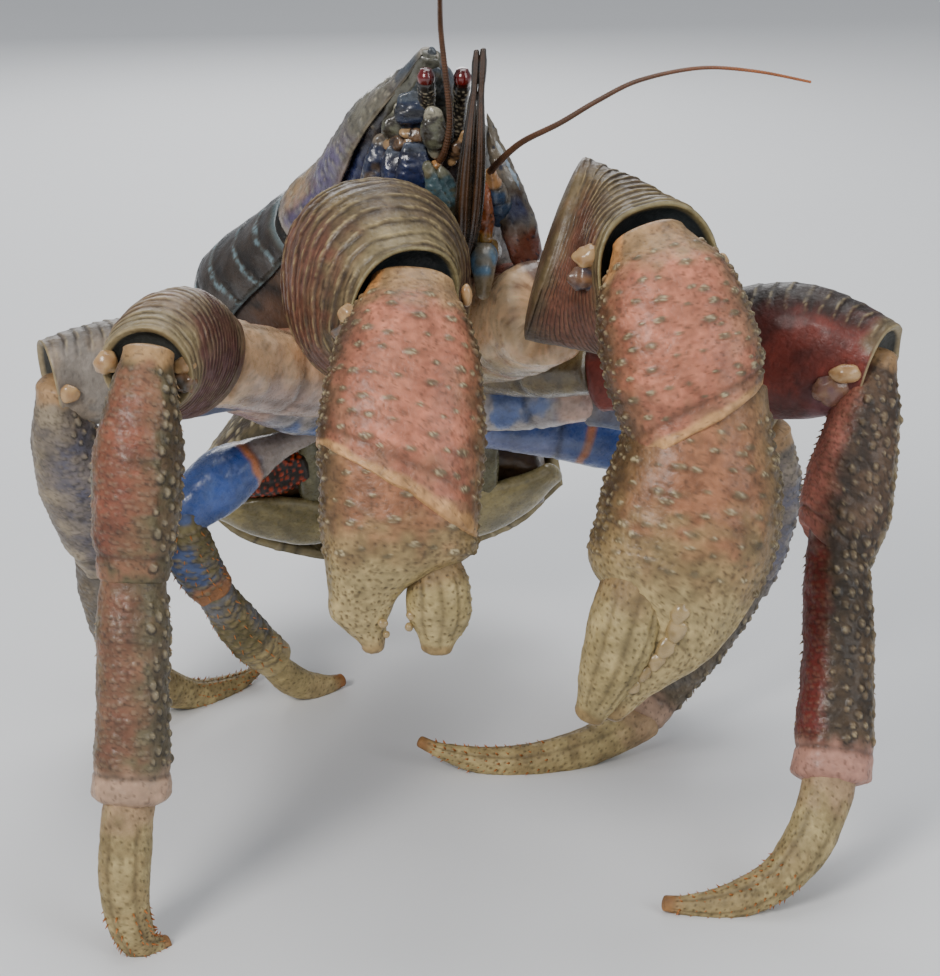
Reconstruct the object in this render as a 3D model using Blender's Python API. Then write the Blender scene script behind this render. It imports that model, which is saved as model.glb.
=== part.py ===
"""Coconut crab, life size, standing: faceted solids, one object for each named part.

Sizes are in millimetres and become metres when a mesh is made. The floor is z = 0, the animal
faces -Y, and its own left side is on +X. Each part of a limb is a closed form swept from one
joint to the next, and a part has a socket, a thin gap clear, for the root of the part it carries.
"""

import math
import random

import bmesh
import bpy
from mathutils import Matrix, Vector

MM = 0.001
GAP = 0.34
FLOOR_DEPTH = 40.0
FLOOR_WIDTH = 600.0
MERGE_DISTANCE = 0.000002
SEED = 11
ROUGHNESS = 0.45
RIDGE_DEPTH = 0.03
BRANCHIAL_OFFSET = 25.0
FEELER_ROOT = 0.9
FEELER_TIP = 0.5
CREST_RADIUS = 5.0
CREST_HEIGHT = 8.0
CREST_POINT = (26.5, -11, 180)
CREST_LEAN = (0, -0.25, 1)

SHELL = (0.30, 0.17, 0.16)
SHELL_DARK = (0.12, 0.10, 0.12)
SHELL_BLUE = (0.16, 0.20, 0.38)
SHELL_LILAC = (0.45, 0.38, 0.38)
FINGER = (0.45, 0.40, 0.29)
EYE_RED = (0.16, 0.01, 0.01)
FEELER = (0.22, 0.08, 0.03)
BELLY = (0.34, 0.32, 0.22)
CUTTER = (0.5, 0.5, 0.5)

FORMS = {}


def clear_scene():
    """Remove whatever the file opened with."""
    for obj in list(bpy.data.objects):
        bpy.data.objects.remove(obj, do_unlink=True)


def make_material(name, colour):
    """Return a Principled material of one colour."""
    material = bpy.data.materials.new(name)
    material.use_nodes = True
    shader = material.node_tree.nodes["Principled BSDF"]
    shader.inputs["Base Color"].default_value = (*colour, 1.0)
    shader.inputs["Roughness"].default_value = ROUGHNESS
    shader.inputs["Metallic"].default_value = 0.0
    return material


def profile(values, t):
    """Return a smooth value at t, from 0 to 1, through evenly spaced values."""
    last = len(values) - 1
    place = min(max(t, 0.0), 1.0) * last
    i = min(int(place), last - 1)
    f = place - i
    p1 = values[i]
    p2 = values[i + 1]
    p0 = values[i - 1] if i > 0 else p1
    p3 = values[i + 2] if i + 2 <= last else p2
    m1 = (p2 - p0) * 0.5
    m2 = (p3 - p1) * 0.5
    return (
        (2 * f**3 - 3 * f**2 + 1) * p1
        + (f**3 - 2 * f**2 + f) * m1
        + (3 * f**2 - 2 * f**3) * p2
        + (f**3 - f**2) * m2
    )


def rounded(value, power):
    """Return a cosine or sine bent towards a superellipse."""
    return math.copysign(abs(value) ** (2.0 / power), value)


class Sweep:
    """A closed form along a bent line: its surface is a function of length and angle."""

    def __init__(self, path, up, widths, heights, power=2.2, relief=None):
        points = [Vector(p) for p in path]
        if len(points) == 2:
            points.insert(1, (points[0] + points[1]) * 0.5)
        self.points = points
        self.up = Vector(up)
        self.widths = widths
        self.heights = heights
        self.power = power
        self.relief = relief

    def centre(self, t):
        """Return the point of the line at t."""
        a, b, c = self.points
        return a * (1 - t) ** 2 + b * 2 * t * (1 - t) + c * t * t

    def frame(self, t):
        """Return the line's direction, side and top at t."""
        a, b, c = self.points
        t = min(max(t, 0.0), 1.0)
        along = ((b - a) * (1 - t) + (c - b) * t).normalized()
        side = along.cross(self.up).normalized()
        return along, side, side.cross(along)

    def surface(self, t, angle):
        """Return the surface point at t and angle; angle 0 is the side, a quarter turn the top."""
        along, side, top = self.frame(t)
        grow = 1.0 + (self.relief(t, angle) if self.relief else 0.0)
        x = rounded(math.cos(angle), self.power) * profile(self.widths, t) * 0.5 * grow
        y = rounded(math.sin(angle), self.power) * profile(self.heights, t) * 0.5 * grow
        return self.centre(t) + side * x + top * y

    def normal(self, t, angle):
        """Return the outward direction of the surface at t and angle."""
        step = 0.02
        dt = self.surface(min(t + step, 1.0), angle) - self.surface(max(t - step, 0.0), angle)
        da = self.surface(t, angle + step) - self.surface(t, angle - step)
        out = da.cross(dt)
        if out.dot(self.surface(t, angle) - self.centre(t)) < 0:
            out = -out
        return out.normalized()

    def build(self, name, colour, sides, rings, caps=(1.0, 1.0)):
        """Make the mesh object from a sphere whose rings are moved on to the surface."""
        bm = bmesh.new()
        bmesh.ops.create_uvsphere(bm, u_segments=sides, v_segments=rings, radius=1.0)
        for vert in bm.verts:
            ring = round(math.acos(max(-1.0, min(1.0, vert.co.z))) / math.pi * rings)
            if ring == 0:
                point = self.centre(0.0) - self.frame(0.0)[0] * caps[0]
            elif ring == rings:
                point = self.centre(1.0) + self.frame(1.0)[0] * caps[1]
            else:
                t = (ring - 1) / (rings - 2)
                point = self.surface(t, math.atan2(vert.co.y, vert.co.x))
            vert.co = point * MM
        bmesh.ops.recalc_face_normals(bm, faces=bm.faces)
        FORMS[name] = self
        return new_object(name, bm, colour)


def new_object(name, bm, colour):
    """Turn a bmesh into a smooth shaded object with its own material."""
    mesh = bpy.data.meshes.new(name)
    if bm.calc_volume(signed=True) < 0:
        bmesh.ops.reverse_faces(bm, faces=bm.faces)
    for face in bm.faces:
        face.smooth = True
    bm.to_mesh(mesh)
    bm.free()
    mesh.materials.append(make_material(name + "_material", colour))
    obj = bpy.data.objects.new(name, mesh)
    bpy.context.scene.collection.objects.link(obj)
    return obj


def tidy_mesh(bm):
    """Merge double points, keep the largest closed surface and split faces into triangles."""
    bmesh.ops.remove_doubles(bm, verts=bm.verts, dist=MERGE_DISTANCE)
    bmesh.ops.triangulate(bm, faces=bm.faces)
    left = set(bm.faces)
    best = []
    while left:
        stack = [left.pop()]
        island = [stack[0]]
        while stack:
            for edge in stack.pop().edges:
                for face in edge.link_faces:
                    if face in left:
                        left.remove(face)
                        island.append(face)
                        stack.append(face)
        if sum(f.calc_area() for f in island) > sum(f.calc_area() for f in best):
            best = island
    keep = set(best)
    bmesh.ops.delete(bm, geom=[f for f in bm.faces if f not in keep], context="FACES")
    wires = [e for e in bm.edges if not e.link_faces]
    bmesh.ops.delete(bm, geom=wires, context="EDGES")
    loose = [v for v in bm.verts if not v.link_faces]
    bmesh.ops.delete(bm, geom=loose, context="VERTS")


def combine(obj, others, operation, solver="EXACT"):
    """Apply one Boolean with a collection of closed objects, which are then removed."""
    if not others:
        return
    group = bpy.data.collections.new("group")
    bpy.context.scene.collection.children.link(group)
    for other in others:
        for home in list(other.users_collection):
            home.objects.unlink(other)
        group.objects.link(other)
    modifier = obj.modifiers.new("combine", "BOOLEAN")
    modifier.operation = operation
    modifier.operand_type = "COLLECTION"
    modifier.collection = group
    modifier.solver = solver
    graph = bpy.context.evaluated_depsgraph_get()
    mesh = bpy.data.meshes.new_from_object(obj.evaluated_get(graph))
    obj.modifiers.clear()
    old = obj.data
    bm = bmesh.new()
    bm.from_mesh(mesh)
    tidy_mesh(bm)
    for face in bm.faces:
        face.smooth = True
        face.material_index = 0
    bm.to_mesh(mesh)
    bm.free()
    material = old.materials[0]
    mesh.materials.clear()
    mesh.materials.append(material)
    name = obj.name
    obj.data = mesh
    bpy.data.meshes.remove(old)
    mesh.name = name
    for other in others:
        bpy.data.objects.remove(other, do_unlink=True)
    bpy.data.collections.remove(group)


def grown_copy(obj, gap=GAP):
    """Return a copy of an object, grown by the gap, to cut a socket with."""
    bm = bmesh.new()
    bm.from_mesh(obj.data)
    bm.normal_update()
    shifts = [(vert, vert.normal.copy()) for vert in bm.verts]
    for vert, normal in shifts:
        vert.co += normal * gap * MM
    return new_object(obj.name + "_cutter", bm, CUTTER)


def socket(parent, *children, solver="EXACT"):
    """Cut into the parent a socket for the root of each child."""
    cutters = [grown_copy(bpy.data.objects[child]) for child in children]
    combine(bpy.data.objects[parent], cutters, "DIFFERENCE", solver)


def cut_floor(*names):
    """Cut away what reaches below the floor, which leaves a small flat."""
    for name in names:
        bm = bmesh.new()
        bmesh.ops.create_cube(bm, size=1.0)
        size = Vector((FLOOR_WIDTH, FLOOR_WIDTH, FLOOR_DEPTH)) * MM
        bmesh.ops.scale(bm, vec=size, verts=bm.verts)
        bmesh.ops.translate(bm, vec=(0, 0, -FLOOR_DEPTH * 0.5 * MM), verts=bm.verts)
        cutter = new_object("floor_cutter", bm, CUTTER)
        combine(bpy.data.objects[name], [cutter], "DIFFERENCE")


def split(obj, point, direction, name, colour=None):
    """Part an object with a thin plane cut: the far side becomes a new object."""
    direction = Vector(direction).normalized()
    point = Vector(point)
    result = []
    for sign in (-1, 1):
        bm = bmesh.new()
        bm.from_mesh(obj.data)
        plane = (point + direction * sign * GAP * 0.5) * MM
        geom = bm.verts[:] + bm.edges[:] + bm.faces[:]
        cut = bmesh.ops.bisect_plane(
            bm, geom=geom, plane_co=plane, plane_no=direction * -sign, clear_outer=True
        )
        edges = [e for e in cut["geom_cut"] if isinstance(e, bmesh.types.BMEdge)]
        bmesh.ops.triangle_fill(bm, edges=edges, use_beauty=True)
        tidy_mesh(bm)
        bmesh.ops.recalc_face_normals(bm, faces=bm.faces)
        result.append(bm)
    base = obj.data.materials[0].node_tree.nodes["Principled BSDF"].inputs["Base Color"]
    shade = colour or tuple(base.default_value)[:3]
    far = new_object(name, result[1], shade)
    result[0].to_mesh(obj.data)
    result[0].free()
    return far


def cone_at(point, direction, radius, height, sides=5, sink=0.6):
    """Return one spine, its root sunk below the surface point."""
    bm = bmesh.new()
    bmesh.ops.create_cone(
        bm, cap_ends=True, segments=sides, radius1=radius, radius2=0.0, depth=height + sink
    )
    bmesh.ops.remove_doubles(bm, verts=bm.verts, dist=0.00001)
    bmesh.ops.translate(bm, vec=(0, 0, (height + sink) * 0.5 - sink), verts=bm.verts)
    turn = Vector((0, 0, 1)).rotation_difference(direction).to_matrix().to_4x4()
    place = Matrix.Translation(point * MM) @ turn @ Matrix.Scale(MM, 4)
    bmesh.ops.transform(bm, matrix=place, verts=bm.verts)
    return new_object("spine", bm, CUTTER)


def spines(name, rows, draw):
    """Fuse rows of spines to a part: span, angle, number, height, root radius and lean."""
    form = FORMS[name]
    cones = []
    sides = 5 if rows[0][5] > 1.0 else 4
    for start, stop, angle, number, height, radius, lean in rows:
        for i in range(number):
            t = start + (stop - start) * (i + 0.5) / number + draw.uniform(-0.01, 0.01)
            a = math.radians(angle) + draw.uniform(-0.08, 0.08)
            point = form.surface(t, a)
            out = form.normal(t, a)
            along = form.frame(t)[0]
            size = draw.uniform(0.8, 1.15)
            direction = (out + along * lean).normalized()
            cones.append(cone_at(point, direction, radius * size, height * size, sides, radius))
    combine(bpy.data.objects[name], cones, "UNION")


def ridges(count):
    """Return a relief of raised ridges across the length of a form."""

    def relief(t, _angle):
        return RIDGE_DEPTH * math.cos(2 * math.pi * count * t)

    return relief


# Limbs. Each part: path, direction of its top face, widths across and heights through at even
# steps along it, sides and rings of its mesh, and colour.
def build_limb_part(name, path, up, widths, heights, mesh=(12, 9), colour=SHELL, **extra):
    """Build one part of a limb."""
    form = Sweep(
        path, up, widths, heights, power=extra.get("power", 2.3), relief=extra.get("relief")
    )
    caps = extra.get("caps", (2.0, 2.0))
    return form.build(name, colour, mesh[0], mesh[1], caps)


def build_claw_right():
    """Build the smaller claw, on the animal's right side."""
    build_limb_part(
        "claw_right_base", [(-29, 34, 122), (-20, -2, 136)], (0, 0.4, 1),
        (24, 28, 30, 26), (24, 28, 32, 28), (10, 6), SHELL_LILAC,
    )
    build_limb_part(
        "claw_right_merus", [(-21, -1, 140), (-29, -27, 161), (-16.4, -50, 155)], (-0.1, 0.5, 1),
        (26, 40, 47, 44, 30), (26, 41, 52, 50, 33), (16, 11), SHELL_DARK, relief=ridges(4.5),
    )
    build_limb_part(
        "claw_right_carpus", [(-14.5, -51, 165), (-16, -64, 148), (-17.5, -75, 126)], (0, -1, 0.3),
        (14, 30, 37, 40, 38), (14, 28, 31, 31, 27), (12, 8), SHELL,
    )
    build_limb_part(
        "claw_right_palm", [(-17.3, -76, 124), (-17, -82, 108), (-17, -87, 96)], (0, -1, 0.2),
        (36, 38, 36, 32), (26, 30, 28, 22), (12, 8), SHELL,
    )
    build_limb_part(
        "claw_right_fixed", [(-24, -84, 104), (-28, -86, 92), (-24, -86, 81)], (0, -1, 0.2),
        (16, 14.5, 12, 6), (20, 18, 13, 6), (8, 6), FINGER,
    )
    build_limb_part(
        "claw_right_finger", [(-8.6, -84, 101), (-6.5, -86, 92), (-8, -87, 80.5)], (0, -1, 0.2),
        (12, 15.5, 15, 8), (14, 17, 14, 7), (8, 6), FINGER,
    )


def build_claw_left():
    """Build the larger claw, on the animal's left side."""
    build_limb_part(
        "claw_left_base", [(-3, 38, 120), (19, -4, 140)], (0, 0.4, 1),
        (26, 30, 30, 26), (26, 29, 30, 28), (10, 6), SHELL_LILAC,
    )
    build_limb_part(
        "claw_left_merus", [(22, -14.8, 160.5), (40, -17, 155), (47.4, -39.2, 157.4)],
        (-0.25, 0.33, 0.92), (30, 33, 34, 34, 33), (49, 47, 45, 43, 42), (16, 11), SHELL_DARK,
        relief=ridges(4.5), power=2.5,
    )
    build_limb_part(
        "claw_left_carpus", [(44, -41, 174), (51, -54, 152), (55, -61, 128)], (0, -1, 0.3),
        (14, 32, 38, 38, 35), (16, 30, 33, 33, 29), (12, 8), SHELL,
    )
    build_limb_part(
        "claw_left_palm", [(55, -60, 126), (53, -67, 106), (49, -71, 88)], (0, -1, 0.2),
        (36, 45, 46, 38), (30, 35, 34, 27), (12, 8), SHELL,
    )
    build_limb_part(
        "claw_left_fixed", [(55, -71, 92), (56, -75, 72), (37, -77, 60)], (0, -1, 0.2),
        (20, 18, 13, 7), (22, 19, 14, 7), (8, 6), FINGER,
    )
    build_limb_part(
        "claw_left_finger", [(37, -74, 93), (32, -79, 74), (29, -79, 59)], (0, -1, 0.2),
        (16, 21, 18, 9), (20, 22, 17, 8), (10, 7), FINGER,
    )


def build_second_legs():
    """Build the first walking legs, the longest pair."""
    build_limb_part(
        "leg2_right_base", [(-37, 36, 109), (-67, -12, 129)], (0, 0.4, 1),
        (20, 22, 22, 22), (21, 23, 23, 23), (10, 5), SHELL_LILAC,
    )
    build_limb_part(
        "leg2_right_merus", [(-70, -18, 130.5), (-77, -30, 140), (-80, -47, 138)], (0, 0.3, 1),
        (25, 27, 27, 24), (30, 33, 30, 22), (12, 9), SHELL_DARK, relief=ridges(3.5),
    )
    build_limb_part(
        "leg2_right_carpus", [(-79, -52, 149), (-82, -64, 120), (-83, -69, 92)], (0, -1, 0.2),
        (12, 20, 22, 21, 18), (14, 22, 23, 21, 17), (10, 8), SHELL,
    )
    build_limb_part(
        "leg2_right_propodus", [(-83, -69.5, 92), (-83, -78, 66), (-84, -84, 40)], (0, -1, 0.2),
        (16, 18, 17.5, 18, 20), (15, 18, 18, 18, 18), (10, 8), SHELL,
    )
    build_limb_part(
        "leg2_right_dactylus", [(-84, -84, 41), (-90, -97, -3), (-76, -88, 0.5)], (0, -1, 0.3),
        (13, 13, 11.5, 9, 4), (13, 13, 11.5, 8, 3.5), (8, 10), FINGER,
    )
    build_limb_part(
        "leg2_left_base", [(0, 40, 108), (35, 12, 118)], (0, 0.4, 1),
        (20, 22, 22, 20), (20, 22, 22, 20), (10, 5), SHELL_LILAC,
    )
    build_limb_part(
        "leg2_left_merus", [(34, 12, 118), (86, 6, 132), (107.5, -8, 126)], (0, 0.2, 1),
        (18, 22, 25, 21), (20, 33, 36, 25), (12, 9), SHELL_DARK, relief=ridges(3.5),
    )
    build_limb_part(
        "leg2_left_carpus", [(108, -6, 129), (101, -16, 104), (96, -28, 80)], (0, -1, 0.4),
        (9, 17, 22, 24, 20), (12, 20, 22, 20, 17), (10, 8), SHELL,
    )
    build_limb_part(
        "leg2_left_propodus", [(96, -26, 85), (97, -41, 57), (93.5, -55, 31)], (0, -1, 0.4),
        (14, 17, 19, 20, 21), (14, 18, 18, 18, 18), (10, 8), SHELL,
    )
    build_limb_part(
        "leg2_left_dactylus", [(93, -56, 32), (86, -73, -2), (50, -72, 2.5)], (0, -1, 0.4),
        (14, 13, 11, 9, 4), (14, 13, 12, 8, 3.5), (8, 10), FINGER,
    )


def build_third_legs():
    """Build the second walking legs."""
    build_limb_part(
        "leg3_right_base", [(-38, 52, 96), (-63, 25, 113)], (0, 0.4, 1),
        (18, 20, 20, 18), (20, 22, 22, 20), (10, 5), SHELL_LILAC,
    )
    build_limb_part(
        "leg3_right_merus", [(-62, 26, 112), (-90, 12, 122), (-106, 5, 119)], (0, 0.2, 1),
        (16, 19, 20, 17), (18, 27, 28, 20), (10, 8), SHELL_BLUE, relief=ridges(3),
    )
    build_limb_part(
        "leg3_right_carpus", [(-111.5, 1, 121), (-110, 6, 92), (-101, 17, 62)], (-0.3, -1, 0.2),
        (12, 18, 20, 19, 15), (12, 18, 19, 18, 15), (10, 7), SHELL_BLUE,
    )
    build_limb_part(
        "leg3_right_propodus", [(-103, 17, 63), (-102, 30, 38), (-96, 43, 16)], (-0.3, -1, -0.3),
        (14, 16, 16, 16, 16), (14, 16, 16, 16, 15), (10, 7), SHELL_BLUE,
    )
    build_limb_part(
        "leg3_right_dactylus", [(-97, 42, 18), (-84, 57, -5), (-64, 75, 4)], (0, 0.3, 1),
        (12, 11, 9, 7, 3), (12, 11, 9, 7, 3), (8, 9), FINGER,
    )
    build_limb_part(
        "leg3_left_base", [(-2, 50, 97), (34, 43, 102)], (0, 0.3, 1),
        (18, 20, 20, 18), (18, 19, 20, 18), (10, 5), SHELL_LILAC,
    )
    build_limb_part(
        "leg3_left_merus", [(33, 43, 102), (64, 45, 106), (83, 43, 92)], (0, 0.2, 1),
        (16, 19, 20, 16), (18, 26, 27, 20), (10, 8), SHELL_BLUE, relief=ridges(3),
    )
    build_limb_part(
        "leg3_left_carpus", [(85, 42, 92), (87, 48, 66), (80, 48, 42)], (0.3, -1, 0.2),
        (12, 17, 19, 18, 15), (12, 17, 18, 17, 14), (10, 7), SHELL_BLUE,
    )
    build_limb_part(
        "leg3_left_propodus", [(80, 47, 44), (66, 34, 30), (50, 26, 12)], (0.2, -1, 0.5),
        (14, 16, 16, 16, 15), (14, 16, 16, 15, 13), (10, 7), SHELL_BLUE,
    )
    build_limb_part(
        "leg3_left_dactylus", [(50, 25, 10), (16, 6, -4), (-14, 13, 8)], (0, -0.3, 1),
        (12, 11, 9.5, 7, 3), (11, 11, 9.5, 7, 3), (8, 10), FINGER,
    )


def build_fourth_legs():
    """Build the short fourth pair, which end in small pincers."""
    build_limb_part(
        "leg4_right_merus", [(-38, 66, 86), (-66, 52, 82), (-83, 40, 66)], (0, 0.3, 1),
        (13, 15, 16, 13), (14, 17, 17, 13), (8, 6), SHELL_BLUE,
    )
    build_limb_part(
        "leg4_right_carpus", [(-82, 38, 68), (-82, 38, 54), (-74, 42, 43)], (-0.3, -1, 0),
        (10, 14, 14, 12), (10, 13, 13, 11), (8, 6), SHELL_BLUE,
    )
    build_limb_part(
        "leg4_right_propodus", [(-75, 41, 45), (-68, 46, 28), (-58, 54, 16)], (-0.3, -1, 0),
        (10, 12, 13, 12), (10, 12, 12, 11), (8, 6), SHELL_BLUE,
    )
    build_limb_part(
        "leg4_right_finger", [(-60, 53, 18), (-53, 60, 0), (-39, 69, 2.5)], (0.5, -0.8, 0),
        (8, 9.5, 8, 4), (8, 9, 7, 3.5), (7, 6), FINGER,
    )
    build_limb_part(
        "leg4_left_merus", [(-4, 66, 86), (28, 70, 86), (52, 71, 73)], (0, 0.3, 1),
        (13, 15, 16, 13), (14, 17, 17, 13), (8, 6), SHELL_BLUE,
    )
    build_limb_part(
        "leg4_left_carpus", [(51, 71, 75), (60, 71, 58), (59, 68, 42)], (0.3, -1, 0),
        (10, 14, 14, 12), (10, 13, 13, 11), (8, 6), SHELL_BLUE,
    )
    build_limb_part(
        "leg4_left_propodus", [(59, 68, 44), (60, 66, 28), (54, 64, 16)], (0.3, -1, 0),
        (10, 12, 13, 12), (10, 12, 12, 11), (8, 6), SHELL_BLUE,
    )
    build_limb_part(
        "leg4_left_finger", [(55, 64, 18), (52, 65, 0), (38, 70, 2.5)], (0, -1, 0.2),
        (8, 9.5, 8, 4), (8, 9, 7, 3.5), (7, 6), FINGER,
    )


def build_body():
    """Build the cephalothorax whole and part it with thin cuts."""
    form = Sweep(
        [(-27, 84, 88), (-20, 46, 140), (-10, -5, 210)], (0.1, 0.87, 0.48),
        (76, 106, 112, 82, 54, 36, 5), (38, 52, 52, 44, 34, 22, 4), power=2.2,
    )
    body = form.build("thorax", SHELL_DARK, 18, 15, (6.0, 1.0))
    top = form.frame(0.5)[2]
    groove = form.centre(0.56)
    head = split(body, groove, form.frame(0.55)[0], "face", SHELL_BLUE)
    split(head, form.centre(0.8) + top * 2.0, form.frame(0.75)[2], "shield", SHELL_DARK)
    middle = form.centre(0.2)
    for name, sign in (("branchial_right", -1), ("branchial_left", 1)):
        away = Vector((sign, 0, 0))
        split(body, middle + away * BRANCHIAL_OFFSET, away + top * 0.5, name)


def build_abdomen():
    """Build the folded abdomen: back plates round a soft underside with its tail plates."""
    slope = Vector((0, -0.5, 0.866))
    back = Vector((0, 0.866, 0.5))
    centre = Vector((-26, 96, 55))
    form = Sweep(
        [(-80, 92, 56), (-27, 96, 51.5), (28, 96, 61.5)], slope,
        (50, 80, 92, 80, 46), (32, 59, 68, 60, 30), power=2.1,
    )
    dome = form.build("tergite_1", SHELL_DARK, 14, 11, (4.0, 4.0))
    front = split(dome, centre, -back, "front")
    bpy.data.objects.remove(front, do_unlink=True)
    belly = Sweep(
        [(-73, 95, 54), (-27, 103.9, 53), (21, 99, 59)], slope,
        (14, 15, 15, 15, 14), (22, 44, 52, 44, 22), power=2.6,
    )
    belly.build("belly", BELLY, 12, 10, (2.0, 2.0))
    for side, x, low, high in (("right", -54, 49.5, 44.5), ("left", 5, 44, 54)):
        plate = Sweep(
            [(x - 21, 91, low), (x, 94, 43), (x + 21, 92, high)], slope,
            (5, 6, 6, 5), (9, 21, 21, 9), power=2.0,
        )
        plate.build("tail_plate_" + side, BELLY, 10, 8, (2.0, 2.0))
    tail = Sweep([(-25, 82, 78), (-26, 96, 44)], back, (13, 15, 13, 8), (7, 8, 8, 6), power=2.0)
    tail.build("tail", SHELL_LILAC, 10, 8, (1.5, 1.5))
    combine(bpy.data.objects["belly"], [bpy.data.objects["tail"]], "UNION")
    socket("belly", "tail_plate_right", "tail_plate_left")
    rest = dome
    for number, degrees in ((2, 52), (3, 90), (4, 128)):
        angle = math.radians(degrees)
        normal = slope * -math.sin(angle) + back * math.cos(angle)
        rest = split(rest, centre, normal, f"tergite_{number}")
    for number in (1, 2, 3, 4):
        plates = ("belly", "tail_plate_right", "tail_plate_left")
        socket(f"tergite_{number}", *plates, solver="MANIFOLD")


def feeler(name, path, root, tip, colour=FEELER):
    """Build a whip from a curve that thins towards its tip."""
    curve = bpy.data.curves.new(name, "CURVE")
    curve.dimensions = "3D"
    curve.bevel_depth = MM
    curve.bevel_resolution = 0
    curve.resolution_u = 3
    curve.use_fill_caps = True
    line = curve.splines.new("NURBS")
    line.points.add(len(path) - 1)
    for i, point in enumerate(path):
        line.points[i].co = (*(Vector(point) * MM), 1.0)
        line.points[i].radius = root + (tip - root) * i / (len(path) - 1)
    line.order_u = 3
    line.use_endpoint_u = True
    source = bpy.data.objects.new(name + "_curve", curve)
    bpy.context.scene.collection.objects.link(source)
    graph = bpy.context.evaluated_depsgraph_get()
    mesh = bpy.data.meshes.new_from_object(source.evaluated_get(graph))
    bm = bmesh.new()
    bm.from_mesh(mesh)
    bmesh.ops.remove_doubles(bm, verts=bm.verts, dist=0.00005)
    bmesh.ops.recalc_face_normals(bm, faces=bm.faces)
    bpy.data.meshes.remove(mesh)
    bpy.data.objects.remove(source, do_unlink=True)
    return new_object(name, bm, colour)


def build_head():
    """Build the eyes, feelers and mouthparts."""
    for side, x, root in (("right", -11, -11.7), ("left", -2.3, -3.3)):
        build_limb_part(
            f"eyestalk_{side}", [(root, 1, 183), (x, -8, 201)], (0, -1, 0.3),
            (4.5, 4, 3.6, 4.2), (4.5, 4, 3.6, 4.2), (8, 6), SHELL_DARK, power=2.0,
        )
        build_limb_part(
            f"eye_{side}", [(x, -8.0, 199.6), (x, -9.4, 206)], (0, -1, 0.3),
            (2.6, 4.4, 4.0, 2), (2.6, 4.4, 4.0, 2), (8, 6), EYE_RED, caps=(0.5, 0.5), power=2.0,
        )
        socket(f"eyestalk_{side}", f"eye_{side}")
    feeler_paths = {
        "right": [(-9, -2, 172), (-7.4, -7, 181), (-5, -9.5, 196), (-8, -15, 224), (-12, -34, 246),
                  (-14, -60, 256)],
        "left": [(8, -2, 170), (5.6, -8, 179), (22, -15.6, 194), (42, -22, 207), (58, -26, 208),
                 (84, -32, 207)],
    }
    for side, x in (("right", -8), ("left", 7)):
        build_limb_part(
            f"antenna_{side}", [(x * 1.4, 8, 166), (x * 0.95, -8, 181)], (0, -1, 0.3),
            (8, 8.5, 7, 4), (7, 8, 6, 4), (10, 7), SHELL_BLUE, caps=(1.0, 0.6), power=2.0,
        )
        whip = feeler(f"whip_{side}", feeler_paths[side], FEELER_ROOT, FEELER_TIP)
        combine(bpy.data.objects[f"antenna_{side}"], [whip], "UNION")
    for side, x, shift in (("right", -2.4, -1), ("left", 2.2, 1)):
        build_limb_part(
            f"antennule_{side}", [(x + shift, 0, 156), (x, -15, 165), (x, -17.5, 188)], (0, -1, 0.3),
            (3.6, 4.2, 4.0, 3.4, 2.6), (4.5, 5, 4.6, 3.8, 2.6), (8, 8), SHELL_DARK, power=2.0,
        )
        club = Sweep(
            [(x, -17.4, 187), (x * 0.5 + 1.2 + shift * 0.3, -19.3, 212)], (0, -1, 0),
            (2, 1.8, 2.4, 2.2, 1.0), (2, 1.8, 2.4, 2.2, 1.0), power=2.0,
        )
        tip = club.build(f"club_{side}", SHELL_DARK, 6, 7, (0.6, 0.6))
        combine(bpy.data.objects[f"antennule_{side}"], [tip], "UNION")
    for side, x, sign in (("right", -5.5, -1), ("left", 3.5, 1)):
        build_limb_part(
            f"maxilliped_{side}", [(x + sign * 1.5, 12, 150), (x, -8, 158), (x, -9, 142)],
            (0, -1, 0.5), (7, 8, 7.5, 5), (7, 7.5, 6.5, 4), (8, 7), SHELL_BLUE, power=2.0,
        )


def fuse_fixed_fingers():
    """Fuse the fixed finger of each claw to its palm."""
    for side in ("right", "left"):
        finger = bpy.data.objects[f"claw_{side}_fixed"]
        combine(bpy.data.objects[f"claw_{side}_palm"], [finger], "UNION")


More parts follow.
